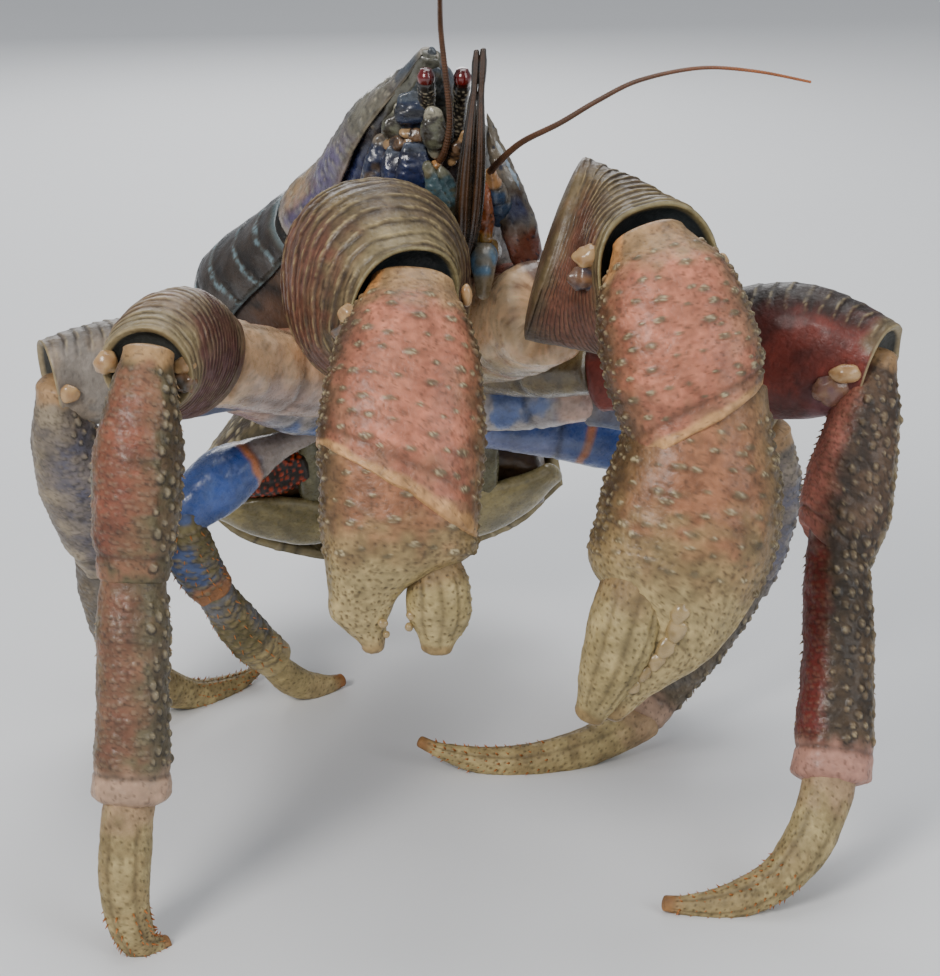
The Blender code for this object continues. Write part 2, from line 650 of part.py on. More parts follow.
def cut_sockets():
    """Cut every socket, from the claws and feet back to the body."""
    for side in ("right", "left"):
        socket(f"claw_{side}_palm", f"claw_{side}_finger")
        socket(f"claw_{side}_carpus", f"claw_{side}_palm")
        socket(f"claw_{side}_merus", f"claw_{side}_carpus")
        socket(f"claw_{side}_base", f"claw_{side}_merus")
        for leg in ("leg2", "leg3"):
            socket(f"{leg}_{side}_propodus", f"{leg}_{side}_dactylus")
            socket(f"{leg}_{side}_carpus", f"{leg}_{side}_propodus")
            socket(f"{leg}_{side}_merus", f"{leg}_{side}_carpus")
            socket(f"{leg}_{side}_base", f"{leg}_{side}_merus")
        socket(f"leg4_{side}_propodus", f"leg4_{side}_finger")
        socket(f"leg4_{side}_carpus", f"leg4_{side}_propodus")
        socket(f"leg4_{side}_merus", f"leg4_{side}_carpus")
        socket(f"leg3_{side}_base", f"leg4_{side}_merus")
        socket(f"leg2_{side}_base", f"leg3_{side}_base", f"leg3_{side}_merus")
        socket(f"claw_{side}_base", f"leg2_{side}_base")
        claw = (f"claw_{side}_base", f"claw_{side}_merus")
        socket(f"maxilliped_{side}", *claw, f"antennule_{side}")
    for side in ("right", "left"):
        roots = [f"claw_{side}_base", f"leg2_{side}_base", f"leg3_{side}_base"]
        roots.append(f"leg4_{side}_merus")
        socket(f"branchial_{side}", *roots)
        socket("thorax", *roots)
        socket("face", *roots)
        socket("face", f"antenna_{side}", f"maxilliped_{side}", f"antennule_{side}")
        socket("face", f"eyestalk_{side}")
        socket("shield", f"eyestalk_{side}")
    for number in (1, 2, 3, 4):
        body = ("thorax", "branchial_right", "branchial_left")
        socket(f"tergite_{number}", *body, solver="MANIFOLD")
    socket("belly", "thorax")


# Rows of spines and tubercles. Each row: where it starts and stops along the part, its angle
# round it, how many, height, root radius and lean towards the tip.
CLAW_ROWS = (
    (0.30, 0.86, 45, 4, 1.0, 1.3, 0.2),
    (0.22, 0.90, 78, 5, 1.0, 1.3, 0.2),
    (0.16, 0.84, 106, 5, 1.0, 1.3, 0.2),
    (0.30, 0.86, 140, 4, 1.0, 1.3, 0.2),
)
PALM_ROWS = (
    (0.24, 0.62, 50, 3, 0.9, 1.2, 0.2),
    (0.24, 0.66, 80, 3, 0.9, 1.2, 0.2),
    (0.24, 0.66, 110, 3, 0.9, 1.2, 0.2),
    (0.24, 0.62, 140, 3, 0.9, 1.2, 0.2),
)
LEG_ROWS = (
    (0.24, 0.84, 15, 3, 1.3, 0.9, 0.8),
    (0.18, 0.84, 60, 3, 1.3, 0.9, 0.8),
    (0.24, 0.86, 95, 4, 1.3, 0.9, 0.8),
    (0.18, 0.84, 130, 3, 1.3, 0.9, 0.8),
)
CREST_ROWS = ((0.30, 0.86, 90, 5, 1.6, 1.2, 0.5),)
BRISTLE_ROWS = (
    (0.35, 0.92, 10, 4, 1.5, 0.5, 0.9),
    (0.35, 0.92, 80, 3, 1.5, 0.5, 0.9),
    (0.35, 0.92, 150, 4, 1.5, 0.5, 0.9),
)
TEETH_ROWS = ((0.40, 0.85, 182, 3, 1.8, 1.7, 0.1),)
SMALL_ROWS = (
    (0.30, 0.80, 40, 3, 1.2, 0.7, 0.8),
    (0.30, 0.80, 140, 3, 1.2, 0.7, 0.8),
)


def add_teeth(draw):
    """Fuse the teeth to the moving finger of each claw."""
    for side in ("right", "left"):
        spines(f"claw_{side}_finger", TEETH_ROWS, draw)


def add_spines(draw):
    """Fuse the spines and tubercles to the parts they grow from."""
    for side in ("right", "left"):
        spines(f"claw_{side}_carpus", CLAW_ROWS, draw)
        spines(f"claw_{side}_palm", PALM_ROWS, draw)
        spines(f"claw_{side}_merus", CREST_ROWS, draw)
        for leg in ("leg2", "leg3"):
            spines(f"{leg}_{side}_merus", CREST_ROWS, draw)
            spines(f"{leg}_{side}_carpus", LEG_ROWS, draw)
            spines(f"{leg}_{side}_propodus", LEG_ROWS, draw)
            spines(f"{leg}_{side}_dactylus", BRISTLE_ROWS, draw)
        spines(f"leg4_{side}_carpus", SMALL_ROWS, draw)
        spines(f"leg4_{side}_propodus", SMALL_ROWS, draw)
    lean = Vector(CREST_LEAN).normalized()
    crest = cone_at(Vector(CREST_POINT), lean, CREST_RADIUS, CREST_HEIGHT, 6, CREST_RADIUS)
    combine(bpy.data.objects["claw_left_merus"], [crest], "UNION")


def set_on_floor():
    """Cut the small flats that the animal stands on."""
    feet = ["leg2_right_dactylus", "leg2_left_dactylus", "leg3_right_dactylus"]
    feet += ["leg3_left_dactylus", "leg4_right_finger", "leg4_left_finger"]
    cut_floor(*feet)


def centre_on_origin():
    """Move the whole animal so that the middle of its outline is over the origin."""
    meshes = [obj.data for obj in bpy.data.objects if obj.type == "MESH"]
    spans = []
    for axis in (0, 1):
        values = [vert.co[axis] for mesh in meshes for vert in mesh.vertices]
        spans.append((min(values) + max(values)) * 0.5)
    for mesh in meshes:
        mesh.transform(Matrix.Translation((-spans[0], -spans[1], 0.0)))
    print("moved by", round(-spans[0] / MM, 2), round(-spans[1] / MM, 2))


def main():
    """Build the crab."""
    clear_scene()
    build_body()
    build_abdomen()
    build_head()
    build_claw_right()
    build_claw_left()
    build_second_legs()
    build_third_legs()
    build_fourth_legs()
    fuse_fixed_fingers()
    draw = random.Random(SEED)
    add_teeth(draw)
    cut_sockets()
    add_spines(draw)
    set_on_floor()
    centre_on_origin()


main()
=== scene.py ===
"""Looks of the life-size coconut crab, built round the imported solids.

Every form is swept between the same joints as the solid that it stands for. Sizes are in
millimetres and become metres when a mesh is made. The animal faces -Y, its own left side is on
+X and the floor is z = 0.
"""

import itertools
import logging
import math
import random
from collections.abc import Sequence
from dataclasses import KW_ONLY, dataclass
from enum import Enum, IntEnum

import bmesh
import bpy
import numpy as np
from bpy.types import Object
from mathutils import Euler, Matrix, Vector
from mathutils.kdtree import KDTree

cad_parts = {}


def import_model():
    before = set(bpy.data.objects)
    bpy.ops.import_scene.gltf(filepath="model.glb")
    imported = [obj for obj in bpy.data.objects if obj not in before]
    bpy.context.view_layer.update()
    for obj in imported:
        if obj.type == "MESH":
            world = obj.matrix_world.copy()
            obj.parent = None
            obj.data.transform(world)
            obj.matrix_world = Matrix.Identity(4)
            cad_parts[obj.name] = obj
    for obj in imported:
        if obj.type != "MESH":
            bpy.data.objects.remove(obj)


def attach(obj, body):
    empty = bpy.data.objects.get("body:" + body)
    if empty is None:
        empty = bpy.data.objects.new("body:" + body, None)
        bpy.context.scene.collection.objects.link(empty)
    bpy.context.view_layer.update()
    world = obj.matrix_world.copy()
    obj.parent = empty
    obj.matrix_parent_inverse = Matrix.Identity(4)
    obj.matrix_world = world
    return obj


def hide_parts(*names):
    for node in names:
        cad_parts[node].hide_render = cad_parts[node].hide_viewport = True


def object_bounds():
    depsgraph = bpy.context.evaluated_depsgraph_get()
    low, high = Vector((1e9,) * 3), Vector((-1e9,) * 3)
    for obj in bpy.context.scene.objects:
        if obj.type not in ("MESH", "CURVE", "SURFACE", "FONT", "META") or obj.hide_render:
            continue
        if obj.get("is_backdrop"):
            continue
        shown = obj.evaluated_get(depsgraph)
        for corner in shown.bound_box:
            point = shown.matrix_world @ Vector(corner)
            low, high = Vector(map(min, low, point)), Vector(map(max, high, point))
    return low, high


Triple = tuple[float, float, float]
Colour = tuple[int, int, int]
Span = tuple[float, float]

LOG = logging.getLogger("crab")

MM = 0.001
# From the places that the forms are drawn at to the frame's, in millimetres.
SHIFT = np.array((3.1, -19.79, 0.0))
ROOT_BODY = "root"

CAMERA_PLACE = (0.0031, -0.72459, 0.3462)
CAMERA_PITCH = 70.0
CAMERA_LENS = 102.47
SENSOR = 36.0

FLOOR_SIZE = 8.0
FLOOR_SHADES = ((0.66, 0.67, 0.69, 1.0), (0.72, 0.73, 0.74, 1.0))
SKY_COLOUR = (0.86, 0.9, 0.96, 1.0)
SKY_STRENGTH = 0.4

# Share of the rings and sides stated for a piece that are built, to keep the whole under
# two million triangles.
DETAIL = 0.78

# All the way round a form, and past both of its ends.
WHOLE = (0.0, 360.0)
ALONG = (-1.0, 2.0)

DOME_STEPS = 7
# Share of the full section and of the lip's height of each ring of an open end.
LIP_RINGS = ((0.995, 0.6), (0.975, 1.0), (0.945, 0.8))
# Rows of a plate's grid over which its edge rolls.
PLATE_ROLL = 3.0 * DETAIL

SPINE_SIDES = 7
SPINE_WELD = 0.000001
KNOB_SIDES = 32
KNOB_RINGS = 22
WHIP_SIDES = 14
WHIP_RINGS = 420
# Length of a feeler's joints, in millimetres.
WHIP_JOINT = 0.8

# What mixes a cell of the noise into a random value.
CELL_MIX = (73856093, 19349663, 83492791)
VALUE_MIX = 1274126177
VALUE_TOP = 0xFFFFFF
SEED_STEP = 17.17


class Slot(Enum):
    """The material slots of the record."""

    EYE = "eye"
    FINGER = "finger_shell"
    FEELER = "feeler"
    BELLY = "belly_skin"
    BLUE = "blue_shell"
    RED = "red_shell"
    DARK = "dark_shell"


class Zone(Enum):
    """The parts of a swept form's surface, from its root to its far end."""

    ROOT = 0
    SIDE = 1
    RIM = 2
    CUP = 3
    TIP = 4


class Pattern(IntEnum):
    """The seeds of the noise, one for each thing that it makes uneven."""

    CREASE = 4
    DRIFT = 5
    STEP = 8
    RIPPLE = 9
    NICK = 10
    PIECE = 12
    CRUMB = 13
    BLOTCH = 21
    MOTTLE = 22
    GRIT = 23
    SPECK = 24
    SHADE = 25
    RAGGED = 31
    TOP = 32
    KNOB_TONE = 31
    KNOB_DENT = 32


def linear(colour: Colour) -> np.ndarray:
    """Return the linear values of a display colour.

    Args:
        colour: Display red, green and blue, each from 0 to 255.

    Returns:
        Linear red, green and blue, each from 0 to 1.
    """
    return np.array([((c / 255.0 + 0.055) / 1.055) ** 2.4 if c > 10 else c / 3294.6
                     for c in colour])


# Painted cast of the warm light over every colour: how dark a colour is made for the studio's light,
# for a warm colour and for a blue one.
WARM_LIGHT_CAST = np.array((0.84, 0.74, 0.60))
COOL_LIGHT_CAST = np.array((0.70, 0.78, 0.86))

PINK = (184, 120, 103)
OLIVE = (104, 94, 72)
FLANK = (76, 64, 50)
PALE = (196, 190, 164)
INK = (34, 30, 28)
TAUPE = (126, 112, 90)
BEIGE = (172, 162, 124)
SAND = (178, 166, 130)
PIT = (62, 52, 40)
RUSSET = (140, 98, 60)
CREAM = (204, 178, 140)
SLATE = (58, 66, 72)
COAL = (20, 22, 24)
AZURE = (66, 96, 160)
PEARL = (176, 176, 190)
LILAC = (182, 158, 146)
CRIMSON = (112, 40, 38)
MOSS = (110, 106, 76)
BRONZE = (80, 64, 48)


def noise(points: np.ndarray, size: float, seed: int) -> np.ndarray:
    """Return smooth noise at points.

    Args:
        points: Places in millimetres, the last axis being x, y and z.
        size: Size of the features in millimetres.
        seed: Picks another pattern.

    Returns:
        Values from 0 to 1, one for each point.
    """
    place = points / size + seed * SEED_STEP
    cell = np.floor(place).astype(np.int64)
    part = place - cell
    part = part * part * (3.0 - 2.0 * part)
    total = np.zeros(points.shape[:-1])
    for corner in itertools.product((0, 1), repeat=3):
        step = np.array(corner)
        x, y, z = np.moveaxis(cell + step, -1, 0)
        mixed = (x * CELL_MIX[0]) ^ (y * CELL_MIX[1]) ^ (z * CELL_MIX[2])
        mixed = ((mixed ^ (mixed >> 13)) * VALUE_MIX) & VALUE_TOP
        weight = np.prod(np.where(step == 1, part, 1.0 - part), axis=-1)
        total += weight * mixed / float(VALUE_TOP)
    return total


def between(span: Span, share: float | np.ndarray) -> float | np.ndarray:
    """Return places a share of the way along a span.

    Args:
        span: Its start and its stop.
        share: The share, from 0 to 1.

    Returns:
        The places.
    """
    return span[0] + (span[1] - span[0]) * share


def off_angle(angles: np.ndarray, middle: float) -> np.ndarray:
    """Return how far angles are from another, whichever way is shorter.

    Args:
        angles: The angles, in degrees.
        middle: The other one.

    Returns:
        Values from 0 to 180.
    """
    return np.abs((angles - middle + 180.0) % 360.0 - 180.0)


def smooth(low: float, high: float, value: np.ndarray) -> np.ndarray:
    """Return a smooth step from 0 at low to 1 at high.

    Args:
        low: Where the step starts.
        high: Where it ends.
        value: The values to step.

    Returns:
        The stepped values.
    """
    f = np.clip((value - low) / (high - low), 0.0, 1.0)
    return f * f * (3.0 - 2.0 * f)


def spline(values: Sequence[float], t: np.ndarray) -> np.ndarray:
    """Return a smooth curve through evenly spaced values.

    Args:
        values: The values at even steps from 0 to 1.
        t: Places from 0 to 1.

    Returns:
        The curve's value at each place.
    """
    known = np.asarray(values, float)
    last = len(known) - 1
    place = np.clip(t, 0.0, 1.0) * last
    i = np.minimum(place.astype(int), last - 1)
    f = place - i
    p1 = known[i]
    p2 = known[i + 1]
    p0 = np.where(i > 0, known[np.maximum(i - 1, 0)], p1)
    p3 = np.where(i + 2 <= last, known[np.minimum(i + 2, last)], p2)
    m1 = (p2 - p0) * 0.5
    m2 = (p3 - p1) * 0.5
    a = (2 * f**3 - 3 * f**2 + 1) * p1 + (f**3 - 2 * f**2 + f) * m1
    return a + (3 * f**2 - 2 * f**3) * p2 + (f**3 - f**2) * m2


@dataclass(frozen=True)
class Form:
    """A closed form along a bent line; angle 0 is its side and 90 degrees its top."""

    path: tuple[Triple, ...]
    up: Triple
    widths: tuple[float, ...]
    heights: tuple[float, ...]
    power: float = 2.3
    offsets: tuple[float, ...] = (0.0, 0.0)
    skew: float = 0.0
    skew_angle: float = 0.0

    def knots(self) -> np.ndarray:
        """Return the three points that bend the line.

        Returns:
            The points, in millimetres.
        """
        points = [np.array(p, float) for p in self.path]
        if len(points) == 2:
            points.insert(1, (points[0] + points[1]) * 0.5)
        return np.array(points)

    def centre(self, t: np.ndarray) -> np.ndarray:
        """Return points of the line.

        Args:
            t: Places along it, from 0 to 1.

        Returns:
            The points, in millimetres.
        """
        a, b, c = self.knots()
        t = np.asarray(t, float)[..., None]
        return a * (1 - t) ** 2 + b * 2 * t * (1 - t) + c * t * t

    def axes(self, t: np.ndarray) -> tuple[np.ndarray, np.ndarray, np.ndarray]:
        """Return the line's direction, side and top at places along it.

        Args:
            t: Places from 0 to 1.

        Returns:
            Three arrays of unit vectors.
        """
        a, b, c = self.knots()
        t = np.clip(np.asarray(t, float), 0.0, 1.0)[..., None]
        along = (b - a) * (1 - t) + (c - b) * t
        along = along / np.linalg.norm(along, axis=-1, keepdims=True)
        side = np.cross(along, np.array(self.up, float))
        side = side / np.linalg.norm(side, axis=-1, keepdims=True)
        return along, side, np.cross(side, along)

    def surface(self, t: np.ndarray, angle: np.ndarray, scale: float | np.ndarray = 1.0,
                push: float | np.ndarray = 0.0) -> np.ndarray:
        """Return points of the surface.

        Args:
            t: Places along the form, from 0 to 1.
            angle: Angles round it, in degrees.
            scale: Share of the full section.
            push: Shift along the line, in millimetres.

        Returns:
            The points, in millimetres.
        """
        t = t + self.skew * np.cos(np.radians(angle - self.skew_angle)) * t**2
        along, side, top = self.axes(t)
        turn = np.radians(angle)
        cos = np.cos(turn)
        sin = np.sin(turn)
        bend = 2.0 / self.power
        x = np.sign(cos) * np.abs(cos) ** bend * spline(self.widths, t) * 0.5 * scale
        y = np.sign(sin) * np.abs(sin) ** bend * spline(self.heights, t) * 0.5 * scale
        x = x + spline(self.offsets, t)
        push = np.broadcast_to(push, x.shape)
        return self.centre(t) + side * x[..., None] + top * y[..., None] + along * push[..., None]

    def length(self) -> float:
        """Return the length of the line in millimetres."""
        points = self.centre(np.linspace(0.0, 1.0, 24))
        return float(np.linalg.norm(np.diff(points, axis=0), axis=1).sum())


@dataclass
class Site:
    """The sampled surface of one form, which reliefs raise and coats colour."""

    form: Form
    t: np.ndarray
    angle: np.ndarray
    zone: np.ndarray
    points: np.ndarray
    outward: np.ndarray
    height: np.ndarray
    # Masks of the coat's pale, dark and tip colours and of its pale granules; they carry painted
    # highlight and painted shade as well as the shell's own marks.
    pale: np.ndarray
    dark: np.ndarray
    tip: np.ndarray
    crumb_and_glint: np.ndarray
    tree: KDTree | None = None
    drift: np.ndarray | None = None

    @classmethod
    def of(cls, form: Form, t: np.ndarray, angle: np.ndarray, zone: np.ndarray,
           points: np.ndarray, closed: bool = True) -> "Site":
        """Make the site of a grid of points.

        Args:
            form: The form that the points belong to.
            t: Places along it, one for each point.
            angle: Angles round it, one for each point.
            zone: Values of Zone, one for each point.
            points: The grid, rows along the form and columns round it.
            closed: True if the last column meets the first.

        Returns:
            The site, with outward directions and empty masks.
        """
        rows = np.gradient(points, axis=0)
        if closed:
            columns = np.roll(points, -1, 1) - np.roll(points, 1, 1)
        else:
            columns = np.gradient(points, axis=1)
        outward = np.cross(columns, rows)
        outward /= np.maximum(np.linalg.norm(outward, axis=-1, keepdims=True), 1e-9)
        middle = points.shape[0] // 2
        away = points[middle] - form.centre(t[middle])
        if (outward[middle] * away).sum() < 0:
            outward = -outward
        masks = (np.zeros(t.shape) for _ in range(5))
        return cls(form, t, angle, zone, points, outward, *masks)

    def around(self, spot: np.ndarray, reach: float) -> np.ndarray:
        """Return the flat numbers of the points within reach of a spot.

        Args:
            spot: The spot, in millimetres.
            reach: The reach, in millimetres.

        Returns:
            The numbers, which may be none.
        """
        if self.tree is None:
            flat = self.points.reshape(-1, 3)
            self.tree = KDTree(len(flat))
            for number, point in enumerate(flat.tolist()):
                self.tree.insert(point, number)
            self.tree.balance()
        return np.array([hit[1] for hit in self.tree.find_range(spot.tolist(), reach)], int)

    def raised(self) -> np.ndarray:
        """Return the points moved out by their heights."""
        return self.points + self.outward * self.height[..., None]

    def shell(self) -> np.ndarray:
        """Return a mask of the points outside the cup and the root."""
        return ((self.zone == Zone.SIDE.value) | (self.zone == Zone.TIP.value)).astype(float)

    def window(self, span: Span, arc: Span, soft: float) -> np.ndarray:
        """Return a soft mask of a patch of the surface.

        Args:
            span: Start and stop along the form.
            arc: Start and stop round it, in degrees; a whole turn is no limit.
            soft: Width of the edge, as a share of the length.

        Returns:
            The mask, from 0 to 1.
        """
        if self.drift is None:
            self.drift = noise(self.points, 3.0, Pattern.DRIFT) - 0.5
        wobble = self.drift * soft * 1.5
        t = self.t + wobble
        mask = smooth(span[0] - soft, span[0] + soft, t)
        mask = mask * (1.0 - smooth(span[1] - soft, span[1] + soft, t))
        if arc[1] - arc[0] < 360.0:
            half = (arc[1] - arc[0]) * 0.5
            off = off_angle(self.angle, (arc[0] + arc[1]) * 0.5)
            edge = max(4.0, soft * 160.0)
            off = off + wobble / max(soft, 1e-6) * edge * 0.6
            mask = mask * (1.0 - smooth(half - edge, half + edge, off))
        return mask


@dataclass(frozen=True)
class Relief:
    """Something that raises or sinks a surface."""

    def apply(self, site: Site) -> None:
        """Change the site's heights and masks.

        Args:
            site: The surface to work on.
        """
        raise NotImplementedError


@dataclass(frozen=True)
class Lumps(Relief):
    """Soft unevenness all over."""

    size: float
    depth: float
    seed: int = 3

    def apply(self, site: Site) -> None:
        """Raise and sink the surface softly.

        Args:
            site: The surface to work on.
        """
        value = noise(site.points, self.size, self.seed) - 0.5
        fine = noise(site.points, self.size * 0.3, self.seed + 1) - 0.5
        site.height += (value * 2.0 + fine * 0.7) * self.depth * site.shell()


@dataclass(frozen=True)
class Terraces(Relief):
    """Low scaly steps across a plate, each with a ragged, broken pale edge that is partly a painted
    highlight, and painted shade in the groove below it.
    """

    count: float
    depth: float
    ragged: float
    span: Span = (0.04, 0.97)
    arc: Span = WHOLE
    around: bool = False
    # Strength of the pale crest of each step, which is partly a painted highlight.
    edge: float = 1.0

    def apply(self, site: Site) -> None:
        """Step the surface along the form, or round it.

        Args:
            site: The surface to work on.
        """
        place = site.angle / 360.0 if self.around else site.t
        wave = (noise(site.points, 8.0, Pattern.STEP)
                + 0.4 * noise(site.points, 2.4, Pattern.RIPPLE))
        nick = 0.25 * noise(site.points, 0.8, Pattern.NICK)
        phase = (place * self.count + (wave * 2.0 + nick) * self.ragged * 1.6) % 1.0
        rise = phase**1.3 * (1.0 - smooth(0.84, 1.0, phase))
        mask = site.window(self.span, self.arc, 0.03) * site.shell()
        piece = 0.35 + 0.65 * smooth(0.38, 0.56, noise(site.points, 2.6, Pattern.PIECE))
        crumb_and_glint = smooth(0.3, 0.62, noise(site.points, 0.7, Pattern.CRUMB))
        site.height += (rise - 0.35) * self.depth * mask * piece
        # Pale crest of each step: partly its own pale edge, partly painted glints.
        line = smooth(0.68, 0.8, phase) * (1.0 - smooth(0.84, 0.92, phase))
        site.pale += line * mask * piece * (0.15 + 0.85 * crumb_and_glint) * self.edge
        # Painted shade in the groove where each step drops.
        under = smooth(0.9, 0.98, phase) + (1.0 - smooth(0.02, 0.35, phase))
        site.dark = np.maximum(site.dark, under * mask * (0.4 + 0.6 * piece) * 0.85)


@dataclass(frozen=True)
class Spot:
    """A place for one small feature of a surface."""

    t: float
    angle: float
    size: float


def scatter(form: Form, pitch: float, span: Span, arc: Span,
            seed: int) -> list[Spot]:
    """Strew places over a form on a jittered grid.

    Args:
        form: The form.
        pitch: Distance between neighbours, in millimetres.
        span: Start and stop along the form.
        arc: Start and stop round it, in degrees.
        seed: Picks another pattern.

    Returns:
        The places, each with a size near 1.
    """
    draw = random.Random(seed)
    length = form.length()
    rows = max(2, round((span[1] - span[0]) * length / pitch))
    spots = []
    for row in range(rows):
        middle = span[0] + (span[1] - span[0]) * (row + 0.5) / rows
        girth = float(spline(form.widths, np.array(middle)) + spline(form.heights, np.array(middle)))
        number = max(1, round(girth * 0.25 * math.radians(arc[1] - arc[0]) / pitch))
        for i in range(number):
            t = middle + draw.uniform(-0.3, 0.3) * pitch / length
            share = (i + 0.5 + 0.5 * (row % 2) + draw.uniform(-0.3, 0.3)) / number
            spots.append(Spot(t, between(arc, share), draw.uniform(0.6, 1.3)))
    return spots


@dataclass(frozen=True)
class Tubercles(Relief):
    """Low pearls, wider than long, each with painted shade round its foot, deeper on one side, and
    pale granules on its top that are partly painted glints.
    """

    pitch: float
    radius: float
    height: float
    span: Span
    arc: Span = WHOLE
    seed: int = 1
    # Strength of the painted shade round each pearl's foot.
    foot: float = 1.0
    # Strength of the tip colour: partly the pearl's own colour, partly a painted highlight.
    gloss: float = 1.0
    wide: float = 1.7
    # Strength of the pale granules on top: partly pale grains, partly painted glints.
    crumb_and_glint: float = 0.0

    def apply(self, site: Site) -> None:
        """Raise the pearls.

        Args:
            site: The surface to work on.
        """
        rise = np.zeros(site.t.size)
        tip = np.zeros(site.t.size)
        pale = np.zeros(site.t.size)
        foot = np.zeros(site.t.size)
        flat = site.points.reshape(-1, 3)
        for spot in scatter(site.form, self.pitch, self.span, self.arc, self.seed):
            size = self.radius * spot.size
            centre = site.form.surface(np.array(spot.t), np.array(spot.angle))
            near = site.around(centre, size * self.wide * 1.9)
            if not near.size:
                continue
            along = site.form.axes(np.array(spot.t))[0]
            away = flat[near] - centre
            lower = (away @ along) / size
            across = np.linalg.norm(away - (away @ along)[:, None] * along, axis=1)
            ragged = 0.85 + 0.5 * noise(flat[near], self.radius * 0.7, Pattern.RAGGED)
            far = np.hypot(lower, across / (size * self.wide)) / ragged
            dome = np.clip(1.0 - far**2, 0.0, 1.0) ** 0.7
            rise[near] = np.maximum(rise[near], dome * spot.size)
            # Pale granules on the top of each pearl: partly pale grains, partly painted glints.
            crumbs_and_glints = smooth(0.55, 0.7, noise(flat[near], 0.45, Pattern.TOP)) * self.crumb_and_glint
            # Tip colour: partly the pearl's own colour, partly a painted highlight.
            tip[near] = np.maximum(tip[near], 1.0 - smooth(0.55, 1.05, far))
            pale[near] = np.maximum(pale[near], (1.0 - smooth(0.5, 1.0, far)) * crumbs_and_glints)
            # Painted shade round the foot, deeper on the side further along the form.
            ring = smooth(0.55, 0.95, far) * (1.0 - smooth(1.0, 1.7, far))
            foot[near] = np.maximum(foot[near], ring * smooth(-0.9, 0.5, lower))
        shell = site.shell()
        site.height += rise.reshape(shell.shape) * self.height * shell
        site.tip = np.maximum(site.tip, tip.reshape(shell.shape) * self.gloss * shell)
        site.crumb_and_glint = np.maximum(site.crumb_and_glint, pale.reshape(shell.shape) * shell)
        site.dark = np.maximum(site.dark, foot.reshape(shell.shape) * self.foot * shell)


@dataclass(frozen=True)
class Pits(Relief):
    """Small dark pits in rough rows."""

    pitch: float
    radius: float
    depth: float
    span: Span = (0.05, 0.97)
    arc: Span = WHOLE
    seed: int = 2

    def apply(self, site: Site) -> None:
        """Sink the pits.

        Args:
            site: The surface to work on.
        """
        sunk = np.zeros(site.t.size)
        flat = site.points.reshape(-1, 3)
        for spot in scatter(site.form, self.pitch, self.span, self.arc, self.seed):
            size = self.radius * spot.size
            centre = site.form.surface(np.array(spot.t), np.array(spot.angle))
            near = site.around(centre, size * 1.1)
            if near.size:
                far = np.linalg.norm(flat[near] - centre, axis=1) / size
                sunk[near] = np.maximum(sunk[near], 1.0 - smooth(0.3, 1.1, far))
        shell = site.shell()
        site.height -= sunk.reshape(shell.shape) * self.depth * shell
        site.dark = np.maximum(site.dark, sunk.reshape(shell.shape) * 0.85 * shell)


@dataclass(frozen=True)
class Grooves(Relief):
    """Grooves along a form."""

    angles: tuple[float, ...]
    depth: float
    width: float
    span: Span = (0.1, 0.95)

    def apply(self, site: Site) -> None:
        """Sink the grooves.

        Args:
            site: The surface to work on.
        """
        ends = site.window(self.span, WHOLE, 0.05) * site.shell()
        for angle in self.angles:
            line = np.exp(-((off_angle(site.angle, angle) / self.width) ** 2)) * ends
            site.height -= line * self.depth
            site.dark = np.maximum(site.dark, line * 0.6)


@dataclass(frozen=True)
class Seam(Relief):
    """A dark sunk line round a form, as where two segments have grown together."""

    at: float
    width: float
    depth: float

    def apply(self, site: Site) -> None:
        """Sink the line.

        Args:
            site: The surface to work on.
        """
        wave = (noise(site.points, 4.0, Pattern.CREASE) - 0.5) * self.width
        line = np.exp(-(((site.t + wave - self.at) / self.width) ** 2)) * site.shell()
        site.height -= line * self.depth
        site.dark = np.maximum(site.dark, line * 0.7)


@dataclass(frozen=True)
class Fold(Relief):
    """A raised crease of the shell along a straight line."""

    start: Triple
    stop: Triple
    width: float
    height: float

    def apply(self, site: Site) -> None:
        """Raise the crease.

        Args:
            site: The surface to work on.
        """
        first = np.array(self.start)
        line = np.array(self.stop) - first
        share = np.clip(((site.points - first) @ line) / (line @ line), 0.0, 1.0)
        away = site.points - first - share[..., None] * line
        wave = 0.7 + 0.6 * noise(site.points, 3.0, Pattern.CREASE)
        near = np.exp(-((np.linalg.norm(away, axis=-1) / (self.width * wave)) ** 2)) * site.shell()
        site.height += near * self.height
        site.crumb_and_glint = np.maximum(site.crumb_and_glint, near * 0.2)


@dataclass(frozen=True)
class Patch:
    """A patch of another colour."""

    colour: Colour
    span: Span
    arc: Span
    soft: float
    strength: float


def band(colour: Colour, start: float, stop: float, soft: float = 0.06,
         strength: float = 1.0) -> Patch:
    """Return a patch that goes all the way round a form.

    Args:
        colour: Its colour.
        start: Where it starts along the form.
        stop: Where it stops.
        soft: Width of its edge, as a share of the length.
        strength: How well it covers.

    Returns:
        The patch.
    """
    return Patch(colour, (start, stop), WHOLE, soft, strength)


